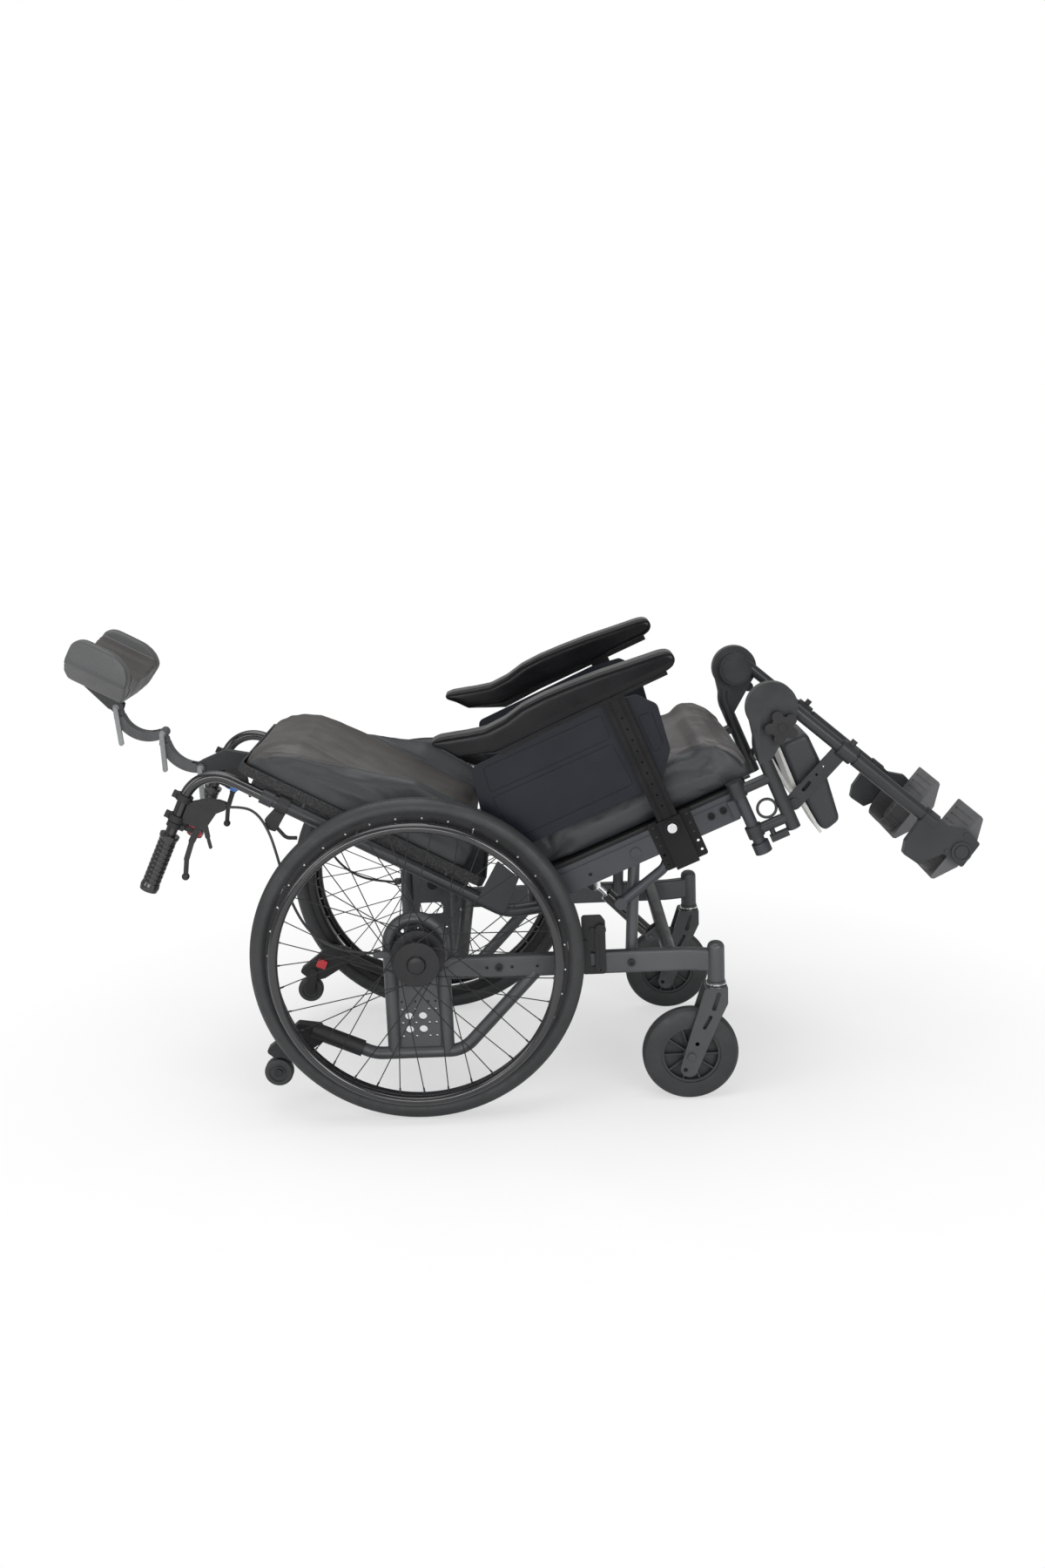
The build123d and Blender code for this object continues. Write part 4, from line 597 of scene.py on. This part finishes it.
# nodes that hold several solids, the larger one first, each with a finish of its own
SPLIT = {
    "caster_wheel": (("caster_tread", TYRE), ("caster_core", CORE_PLASTIC)),
    "anti_tip_arm": (("anti_tip_tube", PLASTIC), ("anti_tip_button", RED)),
    "push_handle": (("push_tube", GLOSS_BLACK), ("push_rubber", GRIP)),
    "hanger": (("hanger_frame", BLACK_COAT), ("star_knob", PLASTIC)),
    "footplate": (("foot_board", BOARD_PLASTIC), ("heel_band", STRAP)),
}
for side in SIDES:
    for node, finishes in SPLIT.items():
        for (name, material), mesh in zip(finishes, solids_of(f"{node}_{side}")):
            piece(f"{name}_{side}", mesh, material, f"{node}_{side}")

# pins, bolts, axles and brackets on the base; the pins on the brackets are pale
BRACKET_PINS = [world_point(x, 0, z) for x, z in ((322, 336), (309, 312))]
PIN_REACH = 0.004
for number, mesh in enumerate(solids_of("base_fittings")):
    x, _, z = points_of(mesh).mean(axis=0)
    pale = any(math.hypot(x - pin.x, z - pin.z) < PIN_REACH for pin in BRACKET_PINS)
    piece(f"base_fitting_{number}", mesh, STEEL if pale else WHEEL_BLACK, "base_fittings")

# the clamp levers on the near face of the headrest links are a lighter grey
LEVER_FACES = (-0.0225, -0.0135)     # across the chair, in metres
for node in ("headrest_link_lower", "headrest_link_upper"):
    obj = piece(node + "_arm", solids_of(node)[0], GREY_PLASTIC, node)
    two_toned(obj, LEVER_GREY, face_centres(obj.data)[:, 1] < LEVER_FACES[1])


# ------------------------------------------------------------------ cushions
def edge_distance(along, up):
    """Depth inside the outline that the points make when seen from the side."""
    points = sorted(set(zip(np.round(along, 1), np.round(up, 1))))

    def chain(ordered):
        kept = []
        for point in ordered:
            while len(kept) > 1:
                (ax, ay), (bx, by) = kept[-2], kept[-1]
                if (bx - ax) * (point[1] - ay) - (by - ay) * (point[0] - ax) > 0:
                    break
                kept.pop()
            kept.append(point)
        return kept

    outline = chain(points)[:-1] + chain(points[::-1])
    depth = np.full(len(along), 1e9)
    for (ax, ay), (bx, by) in zip(outline, outline[1:]):
        length = math.hypot(bx - ax, by - ay)
        depth = np.minimum(depth, ((bx - ax) * (up - ay) - (by - ay) * (along - ax)) / length)
    return depth


PAD = (0.004, 0.0005, 4)        # voxel and shrink in metres, and smoothing passes
FIRM_PAD = (0.0035, 0.0, 5)

# the cushions' own sizes in millimetres, with each seam as its width and its depth
SEAT_HALF = 217
SEAT_BASE = 42                  # below this height the seat cushion is held by the pan
SIDE_PANEL = (34, 14)           # the side skin begins this far in, and its seam is full here
SEAT_SEAM = (3.4, 2.0)
SEAM_INSET = 11                 # in from the outline of the side
SEAM_FOOT = 66                  # the seam runs above this height
SIDE_ROLL = 40                  # width of the roll on each side of the top panel
DISH, DISH_FADE = 8, 34         # the top panel's dip between the rolls, and its run-out
DISH_HEIGHTS = (84, 98)         # the dip comes in between these heights


def seat_cushion():
    """The seat's cushion: a boxing seam on its sides, and a top panel dished between side rolls."""
    held = lambda points: seat_coords(points)[2] < SEAT_BASE
    mesh = plumped(solids_of("seat_cushion")[0], "seat_cushion_soft", held)
    s, y, h = seat_coords(points_of(mesh))
    near_side = step(np.abs(y), SEAT_HALF - SIDE_PANEL[0], SEAT_HALF - SIDE_PANEL[1])
    above_foot = step(h, SEAM_FOOT - 10, SEAM_FOOT + 4)
    press_seam(mesh, edge_distance(s, h) - SEAM_INSET, SEAT_SEAM, near_side * above_foot)
    dish = DISH * step(SEAT_HALF - SIDE_ROLL - np.abs(y), 0, DISH_FADE) * step(h, *DISH_HEIGHTS)
    put_points(mesh, points_of(mesh) - np.array(SEAT_UP) * dish[:, None] / 1000)
    return mesh


BACK_BASE = 8                   # behind this the back cushion is held by the tray
BACK_FRONT = (-12, 6)           # its front side begins and is full here
BACK_SEAM = (3.2, 2.6)
PANEL_HEIGHTS = (182, 250, 385, 455, 515, 600, 640)
PANEL_HALVES = (132, 138, 150, 168, 182, 188, 180)


def centre_half(up):
    """Half width of the back cushion's centre panel at a height."""
    return np.interp(up, PANEL_HEIGHTS, PANEL_HALVES)


def back_cushion():
    """The back's cushion, with a seam on each side of its centre panel."""
    held = lambda points: back_coords(points)[0] < BACK_BASE
    mesh = plumped(solids_of("back_cushion")[0], "back_cushion_soft", held)
    forward, y, up = back_coords(points_of(mesh))
    press_seam(mesh, np.abs(y) - centre_half(up), BACK_SEAM, step(forward, *BACK_FRONT))
    return mesh


def upholstered(node, name, mesh, top, side_skin, picked):
    """A padded piece with its top skin, and a side skin on the faces picked by a mask."""
    obj = piece(name, mesh, top, node, smooth=False)
    two_toned(obj, side_skin, picked)


mesh = seat_cushion()
s, y, h = seat_coords(face_centres(mesh))
below_seam = (edge_distance(s, h) > SEAM_INSET) | (h < SEAM_FOOT)
picked = (np.abs(y) > SEAT_HALF - SIDE_PANEL[0]) & below_seam
# the seat's top panel takes the lighter copy of the top leather, which paints the light falling on it
upholstered("seat_cushion", "seat_cushion_soft", mesh, SEAT_TOP_LIT, LEATHER_SIDE, picked)

mesh = back_cushion()
forward, y, up = back_coords(face_centres(mesh))
picked = np.abs(y) > centre_half(up)
upholstered("back_cushion", "back_cushion_soft", mesh, LEATHER_TOP, LEATHER_SIDE, picked)

HEAD_PANEL = 84                 # half width of the headrest's centre panel behind
HEAD_PANEL_FRONT = 22           # how much wider that panel is in front
HEAD_TURN = (-16, -4)           # it widens here
HEAD_SEAM = (2.4, 2.0)
WING_REACH = 60                 # forward reach of the wings
WING_SPAN = (56, 104)           # they begin and are full here
WING_DRAW_NEAR, WING_DRAW_FAR = 12, 26


def head_band(forward):
    """Half width of the headrest's centre panel: wider in front than behind."""
    return HEAD_PANEL + HEAD_PANEL_FRONT * step(forward, *HEAD_TURN)


def headrest_cushion(mesh):
    """The head pad, with the padding of its wings drawn in by the cover, more so on the far side."""
    mesh = padding(mesh, "headrest_cushion", *PAD)
    forward, y, up = back_coords(points_of(mesh))
    share = np.where(y < 0, WING_DRAW_NEAR, WING_DRAW_FAR) / WING_REACH
    drawn = share * step(np.abs(y), *WING_SPAN) * np.maximum(forward, 0)
    put_points(mesh, points_of(mesh) - np.array(BACK_FORWARD) * drawn[:, None] / 1000)
    forward, y, up = back_coords(points_of(mesh))
    press_seam(mesh, np.abs(y) - head_band(forward), HEAD_SEAM)
    return mesh


head_solids = solids_of("headrest_pad")
mesh = headrest_cushion(head_solids[0])
forward, y, up = back_coords(face_centres(mesh))
picked = np.abs(y) > head_band(forward)
# the wings take the lighter copy of the side leather, which paints the light falling on them
upholstered("headrest_pad", "headrest_cushion", mesh, LEATHER_TOP, HEAD_WING_LIT_SKIN, picked)
obj = piece("headrest_bracket", head_solids[1], BLACK_COAT, "headrest_pad")
across = face_centres(obj.data)[:, 1]
two_toned(obj, LEVER_GREY, (across > LEVER_FACES[0]) & (across < LEVER_FACES[1]))

CALF_PLATE_EDGE = 0.2065        # in metres: the pale plate ends here and its hinge begins
for side in SIDES:
    name = f"arm_pad_skin_{side}"
    mesh = padding(solids_of(f"arm_pad_{side}")[0], name, *FIRM_PAD)
    piece(name, mesh, ARM_SKIN, f"arm_pad_{side}", smooth=False)
    cushion, shell = solids_of(f"calf_pad_{side}")
    mesh = padding(cushion, f"calf_cushion_{side}", *PAD)
    pad = piece(f"calf_cushion_{side}", mesh, LEATHER_SIDE, f"calf_pad_{side}", smooth=False)
    shell = piece(f"calf_shell_{side}", shell, BLACK_COAT, f"calf_pad_{side}")
    two_toned(shell, PALE, np.abs(face_centres(shell.data)[:, 1]) < CALF_PLATE_EDGE)


# ------------------------------------------------------------------ brake cables
# points along the near cable, in millimetres as world_point takes them
CABLE = [
    (-339.3, -205, 586.2),
    (-309, -207, 586.8),
    (-282, -214, 574),
    (-262, -222, 540),
    (-250, -228, 496),
    (-240, -232, 448),
    (-226, -235, 400),
    (-203, -237, 356),
    (-168, -238, 325),
    (-126, -238, 310),
    (-84, -238, 306),
]
CABLE_R = 0.0025                # in metres
JOIN = 5                        # the upper cable ends halfway from this point to the next
cut = tuple((a + b) / 2 for a, b in zip(CABLE[JOIN], CABLE[JOIN + 1]))


def cable(name, points, mirror):
    """A round sheath along a smooth curve through the points' runs."""
    curve = bpy.data.curves.new(name, "CURVE")
    curve.dimensions = "3D"
    curve.bevel_depth = CABLE_R
    curve.bevel_resolution = 4
    curve.resolution_u = 12
    spline = curve.splines.new("NURBS")
    spline.points.add(len(points) - 1)
    for at, (x, y, z) in zip(spline.points, points):
        at.co = (*world_point(x, -y if mirror else y, z), 1)
    spline.order_u = 3
    spline.use_endpoint_u = True
    work = bpy.data.objects.new(name + "_work", curve)
    bpy.context.scene.collection.objects.link(work)
    mesh = evaluated_mesh(work, name)
    bpy.data.objects.remove(work)
    for polygon in mesh.polygons:
        polygon.use_smooth = True
    return new_object(name, mesh, SHEATH)


for side in SIDES:
    flip = side == "left"
    for half, points, first, second in (
        ("upper", CABLE[:JOIN + 1] + [cut], "back", "seat"),
        ("lower", [cut] + CABLE[JOIN + 1:], "seat", "base"),
    ):
        obj = cable(f"brake_cable_{half}_{side}", points, flip)
        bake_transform(obj)
        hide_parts(f"brake_cables_{half}")


# ------------------------------------------------------------------ small trim
def round_bar(work, start, end, radius, sides):
    """Adds a short round bar between two points to a bmesh, all in metres."""
    axis = (end - start).normalized()
    across = axis.orthogonal().normalized()
    other = axis.cross(across)
    rings = []
    for centre in (start, end):
        ring = []
        for number in range(sides):
            angle = 2 * math.pi * number / sides
            outwards = across * math.cos(angle) + other * math.sin(angle)
            ring.append(work.verts.new(centre + outwards * radius))
        rings.append(ring)
    for number in range(sides):
        after = (number + 1) % sides
        work.faces.new((rings[0][number], rings[0][after], rings[1][after], rings[1][number]))
    work.faces.new(rings[0][::-1])
    work.faces.new(rings[1])


def trim(name, work, material, node):
    """A small visual extra that rides with a CAD node and replaces nothing."""
    mesh = bpy.data.meshes.new(name)
    bmesh.ops.recalc_face_normals(work, faces=work.faces)
    work.to_mesh(mesh)
    work.free()
    smooth_by_angle(mesh)
    obj = new_object(name, mesh, material)
    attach(obj, BODY[node])


# the rear wheel in millimetres, with the bars' own sizes in metres
WHEEL_R, WHEEL_Y, RIM_R = 305.0, 285.0, 259.0
SPOKES = 36
LACING = 54                             # degrees from a spoke's head to its foot
FLANGES = ((38, 21.5), (46, -26.0))     # radius of the spokes' feet, and the flange's place outboard
CROSSING = 1.6                          # crossed spokes pass on the two sides of their flange
STAGGER = 3                             # and their heads lie this far from the rim's middle
NIPPLE_LENGTH, NIPPLE_R = 0.010, 0.0018
EYELET_CIRCLE, EYELET_FACES, EYELET_R = 270, (11.6, 12.6), 0.0017
STEM_X, STEM_Y = 549, 240               # the caster stems
WASHERS = ((223.2, 226.4, 0.0185), (226.4, 230.4, 0.0150))     # from, to, and radius in metres


def wheel_point(radius, angle, outboard, flip):
    """A point of a rear wheel, from its radius, its angle in degrees and its place outboard."""
    x, z = radius * math.cos(math.radians(angle)), radius * math.sin(math.radians(angle))
    y = WHEEL_Y + outboard
    return world_point(x, y if flip else -y, WHEEL_R + z)


def spoke_nipples(flip):
    """A nipple at the head of each spoke, pointing along it."""
    work = bmesh.new()
    for number in range(SPOKES):
        angle = number * 360 / SPOKES
        flange_r, flange_y = FLANGES[number % 2]
        lean = 1 if number % 4 < 2 else -1
        foot = wheel_point(flange_r, angle + lean * LACING, flange_y + lean * CROSSING, flip)
        head = wheel_point(RIM_R + 1, angle, STAGGER if number % 2 == 0 else -STAGGER, flip)
        inwards = (foot - head).normalized()
        round_bar(work, head, head + inwards * NIPPLE_LENGTH, NIPPLE_R, 8)
    return work


def rim_eyelets(flip):
    """Bright eyelets in the rim's outer wall, halfway between the spokes."""
    work = bmesh.new()
    for number in range(SPOKES):
        angle = (number + 0.5) * 360 / SPOKES
        ends = [wheel_point(EYELET_CIRCLE, angle, outboard, flip) for outboard in EYELET_FACES]
        round_bar(work, *ends, EYELET_R, 8)
    return work


def stem_washers(flip):
    """Two bearing washers between caster barrel and fork."""
    work = bmesh.new()
    y = STEM_Y if flip else -STEM_Y
    for low, high, radius in WASHERS:
        round_bar(work, world_point(STEM_X, y, low), world_point(STEM_X, y, high), radius, 32)
    return work


for side in SIDES:
    flip = side == "left"
    trim(f"spoke_nipples_{side}", spoke_nipples(flip), DARK_STEEL, f"spoked_wheel_{side}")
    trim(f"rim_eyelets_{side}", rim_eyelets(flip), STEEL, f"spoked_wheel_{side}")
    trim(f"stem_washer_{side}", stem_washers(flip), STEEL, f"base_frame_{side}")

# in the back's axes and in millimetres
BAND_LOW, BAND_HIGH = 150, 627
BAND_REAR, BAND_FRONT = -33.5, -15
BAND_CORNER = 8
BAND_FACES = (207.4, 208.9)             # across the chair
STRIP_LOW, STRIP_HIGH = (-43.5, 192, 165), (-34.2, 204, 604)


def loop_band(sign):
    """The loop band along one side of the back's tray: a flat strip with round corners."""
    outline = []
    for centre_f, centre_u, start in (
        (BAND_FRONT - BAND_CORNER, BAND_HIGH - BAND_CORNER, 0),
        (BAND_REAR + BAND_CORNER, BAND_HIGH - BAND_CORNER, 90),
        (BAND_REAR + BAND_CORNER, BAND_LOW + BAND_CORNER, 180),
        (BAND_FRONT - BAND_CORNER, BAND_LOW + BAND_CORNER, 270),
    ):
        for degrees in range(0, 91, 15):
            angle = math.radians(start + degrees)
            forward = centre_f + BAND_CORNER * math.cos(angle)
            outline.append((forward, centre_u + BAND_CORNER * math.sin(angle)))
    work = bmesh.new()
    inner, outer = (
        [work.verts.new(back_point(forward, sign * across, up)) for forward, up in outline]
        for across in BAND_FACES
    )
    work.faces.new(inner)
    work.faces.new(outer[::-1])
    for number in range(len(outline)):
        after = (number + 1) % len(outline)
        work.faces.new((inner[number], inner[after], outer[after], outer[number]))
    return work


def cane_strip(sign):
    """The foam strip that the tray is bedded on along one cane: a box in the back's axes."""
    work = bmesh.new()
    ends = (STRIP_LOW, STRIP_HIGH)
    corners = {}
    for i in (0, 1):
        for j in (0, 1):
            for k in (0, 1):
                place = back_point(ends[i][0], sign * ends[j][1], ends[k][2])
                corners[i, j, k] = work.verts.new(place)
    for at in (0, 1):
        work.faces.new([corners[at, j, k] for j, k in ((0, 0), (0, 1), (1, 1), (1, 0))])
        work.faces.new([corners[i, at, k] for i, k in ((0, 0), (0, 1), (1, 1), (1, 0))])
        work.faces.new([corners[i, j, at] for i, j in ((0, 0), (0, 1), (1, 1), (1, 0))])
    return work


for side, sign in zip(SIDES, (-1, 1)):
    trim(f"loop_band_{side}", loop_band(sign), LOOP_BAND, "back_shell")
    trim(f"cane_strip_{side}", cane_strip(sign), LOOP_BAND, "back_shell")


# ------------------------------------------------------------------ floor, light and camera
scene = bpy.context.scene
FLOOR_HALF = 14.0
FADE_FROM, FADE_TO = 0.5, 1.25          # the floor whitens between these distances, in metres
NEAR_GLOW = 0.54                        # how much of it is backdrop beside the chair
AMBIENT, BACKDROP = 0.42, 1.0           # strength of the white world as light, and as seen


def floor():
    """A pale floor that fades into the white backdrop away from the chair."""
    mesh = bpy.data.meshes.new("floor")
    corners = [(FLOOR_HALF * x, FLOOR_HALF * y, 0) for x, y in ((-1, -1), (1, -1), (1, 1), (-1, 1))]
    mesh.from_pydata(corners, [], [(0, 1, 2, 3)])
    shader = Shader("studio_floor")
    shader.colours(shader.ramp(shader.noise(3, 2), 0, 1), (0.90, 0.90, 0.90), (0.93, 0.93, 0.93))
    shader.set(Roughness=0.75, Specular_IOR_Level=0.15)
    length = shader.nodes.new("ShaderNodeVectorMath")
    length.operation = "LENGTH"
    shader.link(shader.coords.outputs["Object"], length.inputs[0])
    away = shader.ramp(length.outputs["Value"], NEAR_GLOW, 1, FADE_FROM, FADE_TO)
    glow = shader.nodes.new("ShaderNodeEmission")
    glow.inputs["Color"].default_value = (1, 1, 1, 1)
    path = shader.nodes.new("ShaderNodeLightPath")
    factor = shader.math("MULTIPLY", away, path.outputs["Is Camera Ray"])
    mix = shader.nodes.new("ShaderNodeMixShader")
    shader.link(factor, mix.inputs["Fac"])
    shader.link(shader.surface.outputs["BSDF"], mix.inputs[1])
    shader.link(glow.outputs["Emission"], mix.inputs[2])
    shader.link(mix.outputs["Shader"], shader.nodes["Material Output"].inputs["Surface"])
    obj = new_object("floor", mesh, shader.material)


floor()

world = bpy.data.worlds.new("studio")
scene.world = world
world.use_nodes = True
tree = world.node_tree
background = tree.nodes["Background"]
background.inputs["Color"].default_value = (1, 1, 1, 1)
path = tree.nodes.new("ShaderNodeLightPath")
strength = tree.nodes.new("ShaderNodeMapRange")
strength.inputs["To Min"].default_value = AMBIENT
strength.inputs["To Max"].default_value = BACKDROP
tree.links.new(path.outputs["Is Camera Ray"], strength.inputs["Value"])
tree.links.new(strength.outputs["Result"], background.inputs["Strength"])


def softbox(name, place, target, size, power):
    """A rectangular lamp that faces its target."""
    data = bpy.data.lights.new(name, "AREA")
    data.shape = "RECTANGLE"
    data.size, data.size_y = size
    data.energy = power
    obj = bpy.data.objects.new(name, data)
    scene.collection.objects.link(obj)
    obj.location = place
    direction = Vector(target) - Vector(place)
    obj.rotation_euler = direction.to_track_quat("-Z", "Y").to_euler()


softbox("top_box", (-0.3, -0.2, 3.2), (0, 0, 0.3), (3.0, 2.4), 52)
softbox("front_box", (1.6, -3.2, 1.6), (0, 0, 0.4), (1.8, 1.2), 40)
softbox("low_box", (-0.9, -3.6, 0.8), (0, 0, 0.3), (2.0, 0.9), 26)
softbox("side_box", (-2.6, -1.8, 1.8), (0, 0, 0.4), (1.2, 1.8), 20)

# the camera fitted to the photograph, with its place as world_point takes it
CAMERA_PLACE = (225.33, -2947.26, 1215.09)
PITCH, YAW, ROLL = 0.217666, -0.0077665, -0.0403756
FOCAL_PX, TALL_PX = 1763.8, 1800
SENSOR = 36
forward = Vector((math.sin(YAW) * math.cos(PITCH), math.cos(YAW) * math.cos(PITCH), -math.sin(PITCH)))
level = Vector((math.cos(YAW), -math.sin(YAW), 0))
lift = level.cross(forward)
right = level * math.cos(ROLL) + lift * math.sin(ROLL)
up = lift * math.cos(ROLL) - level * math.sin(ROLL)
camera = bpy.data.cameras.new("camera")
camera.sensor_width = SENSOR
camera.lens = FOCAL_PX / TALL_PX * SENSOR
camera.clip_end = 60
view = bpy.data.objects.new("camera", camera)
scene.collection.objects.link(view)
turn = Matrix((right, up, -forward)).transposed().to_4x4()
view.matrix_world = Matrix.Translation(world_point(*CAMERA_PLACE)) @ turn
scene.camera = view

scene.view_settings.view_transform = "Standard"
